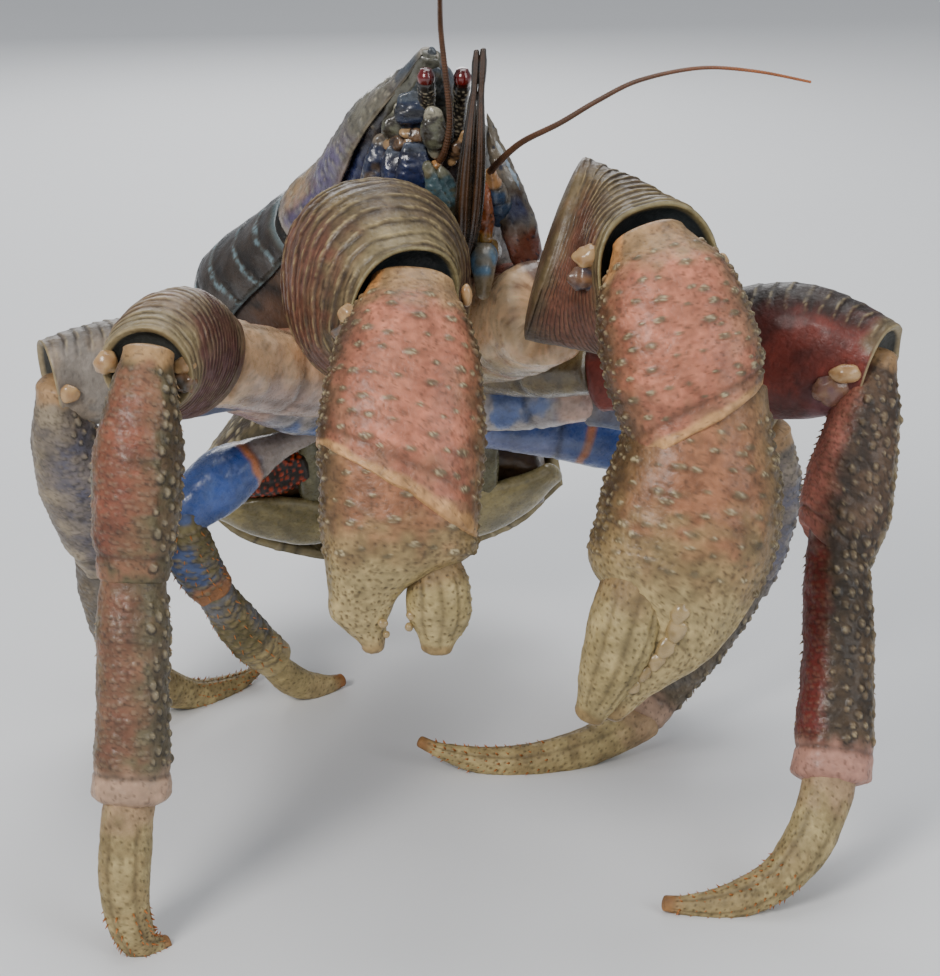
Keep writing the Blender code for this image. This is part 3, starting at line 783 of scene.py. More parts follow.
@dataclass(frozen=True)
class Coat:
    """The colours of one piece."""

    base: Colour
    mottle: Colour
    patches: tuple[Patch, ...] = ()
    # The pale, dark, tip and cup colours below also carry painted light: pale crests and granules are
    # partly painted highlight, dark is partly painted shade in grooves and round pearls, and tip is
    # partly a painted highlight.
    pale: Colour = PALE
    dark: Colour = INK
    tip: Colour = PALE
    rim: Colour = TAUPE
    # Dark colour of the hollow inside an open end: painted shade.
    cup: Colour = SLATE
    blotch: float = 6.0
    speck: float = 0.25
    grit: float = 0.18

    def tint(self, site: Site) -> np.ndarray:
        """Return the colour of each point.

        Args:
            site: The surface to colour.

        Returns:
            Linear colours, the last axis being red, green and blue.
        """
        wide = noise(site.points, self.blotch, Pattern.BLOTCH)
        mid = noise(site.points, self.blotch * 0.33, Pattern.MOTTLE)
        colour = lerp(linear(self.base), linear(self.mottle),
                      smooth(0.35, 0.65, wide * 0.65 + mid * 0.35))
        for patch in self.patches:
            mask = site.window(patch.span, patch.arc, patch.soft) * patch.strength
            colour = lerp(colour, linear(patch.colour), mask)
        grain = 1.0 - self.grit + 2.0 * self.grit * noise(site.points, 0.9, Pattern.GRIT)
        shade = 1.0 - 0.6 * self.grit + 1.2 * self.grit * noise(site.points, 2.8, Pattern.SHADE)
        colour = colour * (grain * shade)[..., None]
        specks = smooth(0.72, 0.8, noise(site.points, 0.7, Pattern.SPECK)) * self.speck
        grained = grain[..., None]
        # Laid over the tint: dark specks, pale crests and edges (partly painted highlight), dark marks
        # (pits, grooves and joints, and painted shade under steps and round pearls), pearl tips
        # (partly painted highlight), pale granules (partly painted glints), the rim, and painted shade
        # inside the cup.
        for over, mask in (
            (linear(self.dark), specks),
            (linear(self.pale), np.clip(site.pale, 0.0, 1.0) * 0.8),
            (linear(self.dark), np.clip(site.dark, 0.0, 1.0) * 0.8),
            (linear(self.tip) * grained, np.clip(site.tip, 0.0, 1.0) * 0.8),
            (linear(self.pale), np.clip(site.crumb_and_glint, 0.0, 1.0) * 0.7),
            (linear(self.rim) * grained, (site.zone == Zone.RIM.value) * 0.85),
            (linear(self.cup), (site.zone == Zone.CUP.value) * 1.0),
        ):
            colour = lerp(colour, over, mask)
        return light_cast(colour)


def lerp(first: np.ndarray, second: np.ndarray, share: np.ndarray) -> np.ndarray:
    """Mix two colours by a mask.

    Args:
        first: The colour where the mask is 0.
        second: The colour where the mask is 1.
        share: The mask.

    Returns:
        The mixed colours.
    """
    return first * (1.0 - share[..., None]) + second * share[..., None]


def light_cast(colour: np.ndarray) -> np.ndarray:
    """Paint the warm cast of the light into a colour, so that it looks under the studio's light as in
    daylight.

    Args:
        colour: Linear colours, the last axis being red, green and blue.

    Returns:
        The colours with the light's cast painted in; blues keep more of their blue than warm colours
        do.
    """
    red = colour[..., 0]
    blue = colour[..., 2]
    cool = smooth(0.0, 0.4, (blue - red) / np.maximum(blue + red, 1e-4))
    return colour * lerp(WARM_LIGHT_CAST, COOL_LIGHT_CAST, cool)


def add_node(tree: bpy.types.NodeTree, kind: str, **values: float) -> bpy.types.Node:
    """Add a node to a material.

    Args:
        tree: The material's nodes.
        kind: The node's type, without the words that all types start with.
        values: The values of its inputs, named with an underscore for each space.

    Returns:
        The node.
    """
    node = tree.nodes.new(f"ShaderNode{kind}")
    for name, value in values.items():
        node.inputs[name.replace("_", " ")].default_value = value
    return node


@dataclass(frozen=True)
class Finish:
    """A procedural shell material that takes its tint from the mesh."""

    name: str
    roughness: float
    coat: float
    grain: float = 900.0
    bump: float = 0.25
    contrast: float = 0.25
    shine: float = 0.35

    def material(self) -> bpy.types.Material:
        """Return the material, made once.

        Returns:
            The material.
        """
        found = bpy.data.materials.get(self.name)
        if found:
            return found
        material = bpy.data.materials.new(self.name)
        material.use_nodes = True
        tree = material.node_tree
        place = add_node(tree, "TexCoord")
        tint = add_node(tree, "Attribute")
        tint.attribute_name = "tint"
        fine = add_node(tree, "TexNoise", Scale=self.grain, Detail=4.0)
        wide = add_node(tree, "TexNoise", Scale=self.grain * 0.15, Detail=6.0)
        shade = add_node(tree, "MapRange", From_Min=0.3, From_Max=0.7,
                         To_Min=1.0 - self.contrast, To_Max=1.0 + self.contrast)
        product = add_node(tree, "VectorMath")
        product.operation = "SCALE"
        rough = add_node(tree, "MapRange", From_Min=0.3, From_Max=0.7,
                         To_Min=max(0.05, self.roughness - 0.12), To_Max=self.roughness + 0.14)
        bump = add_node(tree, "Bump", Strength=self.bump, Distance=0.0006)
        both = add_node(tree, "Math")
        both.operation = "ADD"
        shader = tree.nodes["Principled BSDF"]
        for name, value in (("Specular IOR Level", self.shine), ("Coat Weight", self.coat),
                            ("Coat Roughness", 0.18)):
            shader.inputs[name].default_value = value
        for source, output, target, socket in (
            (place, "Object", fine, "Vector"), (place, "Object", wide, "Vector"),
            (wide, "Fac", shade, "Value"), (tint, "Color", product, "Vector"),
            (shade, "Result", product, "Scale"), (product, "Vector", shader, "Base Color"),
            (fine, "Fac", rough, "Value"), (rough, "Result", shader, "Roughness"),
            (fine, "Fac", both, 0), (wide, "Fac", both, 1), (both, "Value", bump, "Height"),
            (bump, "Normal", shader, "Normal"),
        ):
            tree.links.new(source.outputs[output], target.inputs[socket])
        return material


SHELL = Finish("Chitin", roughness=0.46, coat=0.08, contrast=0.3, bump=0.45)
GLOSS = Finish("GlossyChitin", roughness=0.3, coat=0.4, contrast=0.25, shine=0.5)
FINGER = Finish("FingerChitin", roughness=0.55, coat=0.0, grain=1200.0, contrast=0.3, bump=0.5)
SOFT = Finish("SoftSkin", roughness=0.36, coat=0.35, grain=500.0, bump=0.35)
CORNEA = Finish("Cornea", roughness=0.12, coat=1.0, grain=2500.0, bump=0.05)
WHIP = Finish("Feeler", roughness=0.4, coat=0.3, grain=1500.0)
BONE = Finish("Condyle", roughness=0.3, coat=0.5, grain=700.0, contrast=0.12)


@dataclass(frozen=True)
class Ends:
    """How a form is closed: a dome at its root, and a dome or an open cup at its far end."""

    root: float = 2.0
    tip: float = 2.0
    cup: float = 0.0
    lip: float = 0.6
    wall: float = 0.90


def end_rings(ends: Ends, body_rows: int) -> tuple[np.ndarray, ...]:
    """Plan the rings of a swept form.

    Args:
        ends: How the form is closed.
        body_rows: Number of rings between its ends.

    Returns:
        Place, scale, push and zone of each ring, poles included.
    """
    turns = [math.pi * 0.5 * i / DOME_STEPS for i in range(DOME_STEPS + 1)]
    rows = [(0.0, math.sin(turn), -ends.root * math.cos(turn), Zone.ROOT) for turn in turns[:-1]]
    rows += [(i / (body_rows - 1), 1.0, 0.0, Zone.SIDE) for i in range(body_rows)]
    if ends.cup > 0.0:
        rows += [(1.0, scale, ends.lip * push, Zone.RIM) for scale, push in LIP_RINGS]
        rows.append((1.0, ends.wall + 0.02, 0.0, Zone.RIM))
        rows += [(1.0, ends.wall * math.cos(turn * 0.98), -ends.cup * math.sin(turn), Zone.CUP)
                 for turn in turns[1:-1]]
        rows.append((1.0, 0.0, -ends.cup, Zone.CUP))
    else:
        rows += [(1.0, math.cos(turn), ends.tip * math.sin(turn), Zone.TIP) for turn in turns[1:-1]]
        rows.append((1.0, 0.0, ends.tip, Zone.TIP))
    place, scale, push, zone = zip(*rows)
    return (np.array(place), np.array(scale), np.array(push),
            np.array([z.value for z in zone]))


def put_on(obj: Object, solid: str | None = None) -> Object:
    """Tie a piece to the frame.

    Args:
        obj: The piece.
        solid: The solid that it stands for, if there is one.

    Returns:
        The piece.
    """
    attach(obj, ROOT_BODY)
    if solid:
        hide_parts(solid)
    return obj


def add_object(name: str, data: bpy.types.ID) -> Object:
    """Add an object to the scene.

    Args:
        name: Its name.
        data: Its mesh, light or camera.

    Returns:
        The linked object.
    """
    obj = bpy.data.objects.new(name, data)
    bpy.context.scene.collection.objects.link(obj)
    return obj


def new_piece(name: str, bm: bmesh.types.BMesh, finish: Finish) -> Object:
    """Turn a bmesh in metres into an object.

    Args:
        name: Name of the solid or the detail that the piece shows.
        bm: The mesh, which is freed.
        finish: Its finish.

    Returns:
        The linked object.
    """
    for face in bm.faces:
        face.smooth = True
    mesh = bpy.data.meshes.new(name)
    bm.to_mesh(mesh)
    bm.free()
    mesh.materials.append(finish.material())
    return add_object(f"{name}_shell", mesh)


def tint_layer(bm: bmesh.types.BMesh) -> bmesh.types.BMLayerItem:
    """Return the tint layer of a mesh under construction, made once.

    Args:
        bm: The mesh.

    Returns:
        The layer.
    """
    layers = bm.verts.layers.float_color
    return layers.get("tint") or layers.new("tint")


def set_tint(mesh: bpy.types.Mesh, colours: np.ndarray) -> None:
    """Store a colour for each point of a mesh.

    Args:
        mesh: The mesh.
        colours: Linear colours, one for each vertex.
    """
    layer = mesh.attributes.new("tint", "FLOAT_COLOR", "POINT")
    full = np.ones((len(mesh.vertices), 4), np.float32)
    full[:, :3] = np.clip(colours, 0.0, 1.0)
    layer.data.foreach_set("color", full.ravel())


@dataclass(frozen=True)
class Part:
    """One hard part: its form, its reliefs and its coat."""

    name: str
    form: Form
    coat: Coat
    finish: Finish
    slot: Slot
    reliefs: tuple[Relief, ...]
    ends: Ends = Ends()
    _: KW_ONLY
    sides: int
    rows: int
    span: Span = (0.0, 1.0)
    grow: float = 1.0
    solid: bool = True

    def build(self) -> Object:
        """Build the piece from a grid whose rings are moved on to the surface.

        Returns:
            The piece, tied to the frame.
        """
        sides = round(self.sides * DETAIL)
        place, scale, push, zone = end_rings(self.ends, round(self.rows * DETAIL))
        angles = np.arange(sides) * 360.0 / sides
        t, angle = np.meshgrid(between(self.span, place), angles, indexing="ij")
        zones = np.repeat(zone[:, None], sides, axis=1)
        points = self.form.surface(t, angle, (scale * self.grow)[:, None], push[:, None])
        site = Site.of(self.form, t, angle, zones, points)
        for relief in self.reliefs:
            relief.apply(site)
        for pole in (0, -1):
            site.height[pole] = site.height[pole].mean()
        obj = wrapped(self.name, site.raised(), self.coat.tint(site), self.finish)
        return put_on(obj, self.name if self.solid else None)


def wrapped(name: str, points: np.ndarray, colours: np.ndarray,
            finish: Finish) -> Object:
    """Lay a grid over rings of points and weld its seam and its two poles.

    Args:
        name: The object's name.
        points: The rings in millimetres; each of the first and last is one point repeated.
        colours: Linear colours, one for each point.
        finish: The piece's finish.

    Returns:
        The linked object, closed and facing outward.
    """
    rows, sides = points.shape[:2]
    bm = bmesh.new()
    bmesh.ops.create_grid(bm, x_segments=rows - 1, y_segments=sides, size=1.0)
    mesh = bpy.data.meshes.new(name)
    bm.to_mesh(mesh)
    bm.free()
    flat = np.zeros(len(mesh.vertices) * 3, np.float32)
    mesh.vertices.foreach_get("co", flat)
    row = np.rint((flat[0::3] + 1.0) * 0.5 * (rows - 1)).astype(int)
    column = np.rint((flat[1::3] + 1.0) * 0.5 * sides).astype(int)
    places = (points[row, column % sides] + SHIFT) * MM
    mesh.vertices.foreach_set("co", places.astype(np.float32).ravel())
    set_tint(mesh, colours[row, column % sides])
    pole = (row == 0) | (row == rows - 1)
    first = {(r, c): n for n, (r, c) in enumerate(zip(row.tolist(), column.tolist())) if c == 0}
    moved = np.nonzero((column == sides) | (pole & (column > 0)))[0].tolist()
    bm = bmesh.new()
    bm.from_mesh(mesh)
    bm.verts.ensure_lookup_table()
    bmesh.ops.weld_verts(bm, targetmap={bm.verts[n]: bm.verts[first[int(row[n]), 0]] for n in moved})
    if bm.calc_volume(signed=True) < 0:
        bmesh.ops.reverse_faces(bm, faces=bm.faces)
    bpy.data.meshes.remove(mesh)
    return new_piece(name, bm, finish)


@dataclass(frozen=True)
class SpineRow:
    """A row of small spines along a form."""

    span: Span
    angle: float
    number: int
    length: float
    radius: float
    lean: float


@dataclass(frozen=True)
class Spines:
    """The spines of one part, as one piece."""

    name: str
    form: Form
    rows: tuple[SpineRow, ...]
    root: Colour
    tip: Colour
    slot: Slot
    seed: int

    def build(self) -> Object:
        """Build the spines, each a small cone with its foot sunk in the shell.

        Returns:
            The piece, tied to the frame.
        """
        draw = random.Random(self.seed)
        bm = bmesh.new()
        for row in self.rows:
            for i in range(row.number):
                share = (i + 0.5 + draw.uniform(-0.25, 0.25)) / row.number
                angle = row.angle + draw.uniform(-6.0, 6.0)
                self.add_spine(bm, row, between(row.span, share), angle, draw.uniform(0.7, 1.2))
        bmesh.ops.remove_doubles(bm, verts=bm.verts, dist=SPINE_WELD)
        return put_on(new_piece(self.name, bm, FINGER))

    def add_spine(self, bm: bmesh.types.BMesh, row: SpineRow, t: float, angle: float,
                  size: float) -> None:
        """Add one spine.

        Args:
            bm: The mesh under construction.
            row: The row that the spine belongs to.
            t: Place along the form.
            angle: Angle round it, in degrees.
            size: Share of the row's size.
        """
        layer = tint_layer(bm)
        spot = self.form.surface(np.array(t), np.array(angle))
        along = self.form.axes(np.array(t))[0]
        out = spot - self.form.centre(np.array(t))
        out = out / np.linalg.norm(out)
        lean = Vector(out + along * row.lean).normalized()
        length = row.length * size
        sink = row.radius * 1.2
        made = bmesh.ops.create_cone(
            bm, cap_ends=True, segments=SPINE_SIDES, radius1=row.radius * size,
            radius2=row.radius * 0.12, depth=length + sink,
        )["verts"]
        bmesh.ops.translate(bm, vec=(0, 0, (length + sink) * 0.5 - sink), verts=made)
        foot, point = ((*light_cast(linear(colour)), 1.0) for colour in (self.root, self.tip))
        for vert in made:
            vert[layer] = point if vert.co.z > 0 else foot
        turn = Vector((0, 0, 1)).rotation_difference(lean).to_matrix().to_4x4()
        place = Matrix.Translation((Vector(spot) + Vector(SHIFT)) * MM)
        bmesh.ops.transform(bm, matrix=place @ turn @ Matrix.Scale(MM, 4), verts=made)


@dataclass(frozen=True)
class Knob:
    """One rounded lump, such as the pale ball of a joint or a tooth."""

    centre: Triple
    size: Triple
    turn: Triple = (0.0, 0.0, 0.0)
    tint: Colour | None = None


@dataclass(frozen=True)
class Knobs:
    """Several lumps as one piece."""

    name: str
    knobs: tuple[Knob, ...]
    colour: Colour
    mottle: Colour
    slot: Slot

    def build(self) -> Object:
        """Build the lumps.

        Returns:
            The piece, tied to the frame.
        """
        bm = bmesh.new()
        layer = tint_layer(bm)
        for knob in self.knobs:
            made = bmesh.ops.create_uvsphere(bm, u_segments=KNOB_SIDES, v_segments=KNOB_RINGS,
                                             radius=0.5)["verts"]
            points = np.array([vert.co[:] for vert in made]) * np.array(knob.size)
            around = points + np.array(knob.centre)
            dent = 1.0 + (noise(around, 1.8, Pattern.KNOB_DENT) - 0.5) * 0.45
            tints = light_cast(lerp(linear(knob.tint or self.colour), linear(self.mottle),
                              noise(around, 1.6, Pattern.KNOB_TONE)))
            turn = Euler([math.radians(a) for a in knob.turn]).to_matrix()
            middle = Vector(knob.centre) + Vector(SHIFT)
            for vert, point, grow, tint in zip(made, points, dent, tints):
                vert.co = (middle + turn @ Vector(point * grow)) * MM
                vert[layer] = (*tint, 1.0)
        return put_on(new_piece(self.name, bm, BONE))


@dataclass(frozen=True)
class Plate:
    """A curved plate cut from a form, with thickness and rolled edges."""

    name: str
    form: Form
    span: Span
    arc: Span
    coat: Coat
    finish: Finish
    slot: Slot
    reliefs: tuple[Relief, ...]
    thickness: float
    edge: float
    sides: int
    rows: int
    solid: bool = True

    def build(self) -> Object:
        """Build the plate from a grid laid on the form and made solid.

        Returns:
            The piece, tied to the frame.
        """
        rows = round(self.rows * DETAIL)
        sides = round(self.sides * DETAIL)
        u, v = np.meshgrid(np.linspace(0.0, 1.0, rows), np.linspace(0.0, 1.0, sides), indexing="ij")
        t = between(self.span, u)
        angle = between(self.arc, v)
        zones = np.full(t.shape, Zone.SIDE.value)
        site = Site.of(self.form, t, angle, zones, self.form.surface(t, angle), closed=False)
        for relief in self.reliefs:
            relief.apply(site)
        border = np.minimum(np.minimum(u, 1 - u) * rows, np.minimum(v, 1 - v) * sides)
        roll = np.exp(-((border / PLATE_ROLL) ** 2))
        site.height -= roll * self.edge
        site.pale = np.maximum(site.pale, roll * 0.5)
        raised = site.raised()
        colours = self.coat.tint(site)
        bm = bmesh.new()
        bmesh.ops.create_grid(bm, x_segments=rows - 1, y_segments=sides - 1, size=1.0)
        layer = tint_layer(bm)
        for vert in bm.verts:
            row = round((vert.co.x + 1.0) * 0.5 * (rows - 1))
            column = round((vert.co.y + 1.0) * 0.5 * (sides - 1))
            vert.co = Vector(raised[row, column] + SHIFT) * MM
            vert[layer] = (*np.clip(colours[row, column], 0.0, 1.0), 1.0)
        bm.normal_update()
        middle = Vector(self.form.centre(np.array(sum(self.span) * 0.5)) + SHIFT) * MM
        facing = sum(f.normal.dot(f.calc_center_median() - middle) for f in bm.faces)
        if facing < 0:
            bmesh.ops.reverse_faces(bm, faces=bm.faces)
            bm.normal_update()
        bmesh.ops.solidify(bm, geom=bm.faces[:], thickness=self.thickness * MM)
        bmesh.ops.recalc_face_normals(bm, faces=bm.faces)
        obj = new_piece(self.name, bm, self.finish)
        return put_on(obj, self.name if self.solid else None)


@dataclass(frozen=True)
class Whip:
    """A jointed feeler that thins to its tip."""

    name: str
    path: tuple[Triple, ...]
    root: float = 0.92
    tip: float = 0.34

    def build(self) -> Object:
        """Build the feeler along a smooth line.

        Returns:
            The piece, tied to the frame.
        """
        knots = np.array(self.path, float)
        share = np.linspace(0.0, 1.0, WHIP_RINGS + 1)
        steps = np.linalg.norm(np.diff(self.line(knots, share), axis=0), axis=1)
        travel = np.concatenate([[0.0], np.cumsum(steps)])
        line = self.line(knots, np.interp(np.linspace(0.0, travel[-1], len(share)), travel, share))
        along = np.gradient(line, axis=0)
        along /= np.linalg.norm(along, axis=1, keepdims=True)
        side = np.cross(along, np.array((0.13, 0.9, 0.41)))
        side /= np.linalg.norm(side, axis=1, keepdims=True)
        top = np.cross(side, along)
        wave = np.cos((share * travel[-1] / WHIP_JOINT) % 1.0 * 2 * math.pi)
        width = between((self.root, self.tip), share) * (1.0 + 0.10 * wave)
        width[0] = width[-1] = 0.0
        angles = np.arange(WHIP_SIDES) * 2 * math.pi / WHIP_SIDES
        circle = (np.cos(angles)[None, :, None] * side[:, None, :]
                  + np.sin(angles)[None, :, None] * top[:, None, :])
        points = line[:, None, :] + circle * width[:, None, None]
        colour = lerp(linear((96, 66, 46)), linear((170, 104, 60)), smooth(0.55, 1.0, share))
        tints = light_cast(colour * (0.75 + 0.25 * wave)[:, None])[:, None, :]
        obj = wrapped(self.name, points, np.repeat(tints, WHIP_SIDES, axis=1), WHIP)
        return put_on(obj)

    @staticmethod
    def line(knots: np.ndarray, t: np.ndarray) -> np.ndarray:
        """Return points of a smooth line through knots.

        Args:
            knots: The knots, in millimetres.
            t: Places along the line, from 0 to 1.

        Returns:
            The points.
        """
        return np.stack([spline(column, t) for column in knots.T], axis=1)


@dataclass(frozen=True)
class Claw:
    """One great claw, from its base to its two fingers."""

    side: str
    base: Form
    merus: Form
    carpus: Form
    palm: Form
    finger: Form
    merus_steps: float
    merus_arc: Span
    fold: tuple[Triple, Triple]
    teeth: tuple[Knob, ...]
    condyles: tuple[Knob, ...]
    seed: int
    palm_end: float

    def build(self) -> list[Object]:
        """Build the claw's pieces.

        Returns:
            The pieces, tied to the frame.
        """
        return [self.build_base(), self.build_merus(), self.build_carpus(), self.build_palm(),
                self.build_finger(), self.dress_teeth(), self.dress_condyles()]

    def build_base(self) -> Object:
        """Build the short base segments.

        Returns:
            The piece, tied to the frame.
        """
        # The base segments' beige-pink is brightened to make up for the shade that falls on them in
        # the scene: their own colour and painted light. The faint lilac patch is a painted sheen.
        coat = Coat((246, 224, 196), (234, 202, 172), (
            Patch((190, 180, 200), (0.3, 0.9), (40.0, 200.0), 0.16, 0.4),
            Patch((120, 44, 34), (0.4, 0.95), (50.0, 120.0), 0.06, 0.85),
            Patch((216, 120, 56), (0.5, 0.66), (-60.0, 0.0), 0.05, 0.7),
            Patch((52, 56, 84), (0.86, 1.5), (60.0, 120.0), 0.05, 0.7),
            Patch(MOSS, (-1.0, 0.9), (230.0, 320.0), 0.1, 0.7),
        ), pale=(226, 204, 146), dark=(116, 66, 58), blotch=5.0, speck=0.5, grit=0.3)
        reliefs = (Lumps(8.0, 0.8), Seam(0.62, 0.03, 0.7), Grooves((60.0, 120.0, 240.0), 0.6, 8.0))
        return Part(f"claw_{self.side}_base", self.base, coat, GLOSS, Slot.RED, reliefs,
                    Ends(tip=5.0), sides=96, rows=70).build()

    def build_merus(self) -> Object:
        """Build the crested third segment with its scaly steps.

        Returns:
            The piece, tied to the frame.
        """
        # The pale crests of the steps are partly painted glints, and the dark cup colour is painted
        # shade inside the open end.
        coat = Coat((108, 98, 76), (86, 74, 60), (
            Patch((112, 72, 64), (0.1, 0.88), (290.0, 400.0), 0.14, 0.85),
            Patch((78, 48, 48), (0.1, 0.9), (160.0, 240.0), 0.1, 0.75),
            Patch((134, 128, 102), (0.9, 1.0), (20.0, 170.0), 0.05, 0.6),
        ), pale=(164, 154, 122), dark=(40, 32, 28), rim=(140, 136, 108),
            cup=(44, 50, 54), blotch=9.0, grit=0.3)
        reliefs = (Lumps(12.0, 0.5),
                   Terraces(self.merus_steps, 0.7, 0.16, (0.04, 1.2), self.merus_arc),
                   Terraces(self.merus_steps * 1.6, 0.2, 0.3, (0.04, 1.2), (-90.0, 30.0), edge=0.3),
                   Pits(2.6, 0.4, 0.15, (0.1, 0.9), seed=self.seed + 5))
        return Part(f"claw_{self.side}_merus", self.merus, coat, SHELL, Slot.RED, reliefs,
                    Ends(root=3.0, cup=7.0, lip=0.5, wall=0.92), sides=220, rows=240).build()

    def build_carpus(self) -> Object:
        """Build the fourth segment, salmon red with flat grey-green scabs.

        Returns:
            The piece, tied to the frame.
        """
        coat = Coat((168, 112, 96), (148, 112, 94), (
            Patch(PINK, (0.18, 0.9), (50.0, 130.0), 0.14, 0.8),
            Patch(OLIVE, ALONG, (150.0, 230.0), 0.12, 0.85),
            Patch(FLANK, ALONG, (-60.0, 38.0), 0.14, 0.9),
            band((158, 136, 104), -1.0, 0.2, 0.07, 0.8),
            Patch((206, 150, 96), (-0.1, 0.16), (-40.0, 50.0), 0.04, 0.7),
            band((196, 160, 116), 0.965, 2.0, 0.015, 0.8),
        ), tip=(100, 98, 82), dark=(78, 60, 48), blotch=6.0, speck=0.5, grit=0.32)
        return Part(f"claw_{self.side}_carpus", self.carpus, coat, SHELL, Slot.RED,
                    (*self.scabs(0.12, 0.93, 0), Seam(0.9, 0.02, 0.25)),
                    Ends(root=2.5, tip=1.6), sides=230, rows=220).build()

    def scabs(self, start: float, stop: float, seed: int) -> tuple[Relief, ...]:
        """Return the relief of a claw's broad faces and of its rough flanks.

        Args:
            start: Where it starts along the segment.
            stop: Where it stops.
            seed: Added to the claw's own seed.

        Returns:
            The relief.
        """
        own = self.seed + seed
        # The pearls' pale granules are partly painted glints and their feet carry painted shade; their
        # tips take the segment's own grey-green.
        return (Lumps(11.0, 0.5), Lumps(3.0, 0.15, own),
                Tubercles(5.2, 0.8, 0.3, (start, stop), (34.0, 146.0), own,
                          foot=0.5, wide=1.9, crumb_and_glint=1.0),
                Tubercles(2.6, 0.8, 0.7, (start, stop), (150.0, 214.0), own + 3,
                          gloss=0.8, wide=1.1, crumb_and_glint=0.8),
                Tubercles(2.5, 0.7, 0.6, (start, stop), (-40.0, 28.0), own + 4,
                          gloss=0.7, wide=1.2, crumb_and_glint=0.9),
                Pits(2.6, 0.3, 0.15, (start, 0.97), (30.0, 150.0), own + 9))

    def build_palm(self) -> Object:
        """Build the palm with its fixed finger.

        Returns:
            The piece, tied to the frame.
        """
        end = self.palm_end
        coat = Coat((138, 112, 84), (128, 106, 78), (
            Patch((150, 104, 82), (0.04, end * 0.74), (50.0, 130.0), 0.14, 0.85),
            Patch(OLIVE, (0.0, end), (150.0, 230.0), 0.12, 0.85),
            Patch(FLANK, (0.0, end), (-60.0, 38.0), 0.14, 0.9),
            band((142, 128, 96), end * 0.72, 2.0, 0.12, 0.8),
            band(BEIGE, end, 2.0, 0.07, 0.8),
            band((122, 92, 58), 0.97, 2.0, 0.03, 0.5),
        ), tip=(102, 96, 78), dark=(70, 56, 42), blotch=6.0, speck=0.5, grit=0.32)
        reliefs = (*self.scabs(0.06, end * 0.95, 1), Fold(*self.fold, 0.6, 0.5),
                   Pits(2.1, 0.5, 0.35, (end * 0.8, 0.97), seed=self.seed + 2))
        return Part(f"claw_{self.side}_palm", self.palm, coat, SHELL, Slot.RED, reliefs,
                    Ends(root=3.0, tip=2.0), sides=230, rows=240).build()

    def build_finger(self) -> Object:
        """Build the moving finger.

        Returns:
            The piece, tied to the frame.
        """
        coat = Coat(BEIGE, (158, 148, 110), (
            band((136, 116, 88), -1.0, 0.22, 0.1, 0.8),
            band((122, 92, 58), 0.96, 2.0, 0.03, 0.5),
        ), dark=PIT, blotch=5.0)
        reliefs = (Lumps(8.0, 0.4), Lumps(2.0, 0.12, 9),
                   Grooves((62.0, 95.0, 128.0), 0.3, 5.0, (0.15, 0.9)),
                   Pits(2.1, 0.48, 0.32, (0.06, 0.95), seed=self.seed + 4),
                   Tubercles(2.4, 0.5, 0.3, (0.05, 0.9), (150.0, 200.0), self.seed + 6))
        return Part(f"claw_{self.side}_finger", self.finger, coat, FINGER, Slot.FINGER, reliefs,
                    Ends(root=4.0, tip=2.0), sides=150, rows=140).build()

    def dress_teeth(self) -> Object:
        """Add the blunt pale teeth of the fingers."""
        return Knobs(f"claw_{self.side}_teeth", self.teeth, (182, 166, 130),
                     (120, 106, 76), Slot.FINGER).build()

    def dress_condyles(self) -> Object:
        """Add the lumps of the joints, cream above and steel blue below."""
        return Knobs(f"claw_{self.side}_condyles", self.condyles, (200, 176, 138),
                     (146, 112, 82), Slot.RED).build()


class Shank(Enum):
    """The two segments of a walking leg that carry pearls and spines."""

    CARPUS = "carpus"
    PROPODUS = "propodus"


@dataclass(frozen=True)
class LegColours:
    """The colours that differ from leg to leg."""

    base: tuple[Colour, Colour]
    merus: tuple[Colour, Colour]
    carpus: tuple[Colour, Colour]
    propodus: tuple[Colour, Colour]
    patches: dict[str, tuple[Patch, ...]]
    # Colour of the pearls' tips: partly their own pale colour, partly painted glints.
    pearl: Colour = (150, 146, 132)
    collar: Colour = LILAC


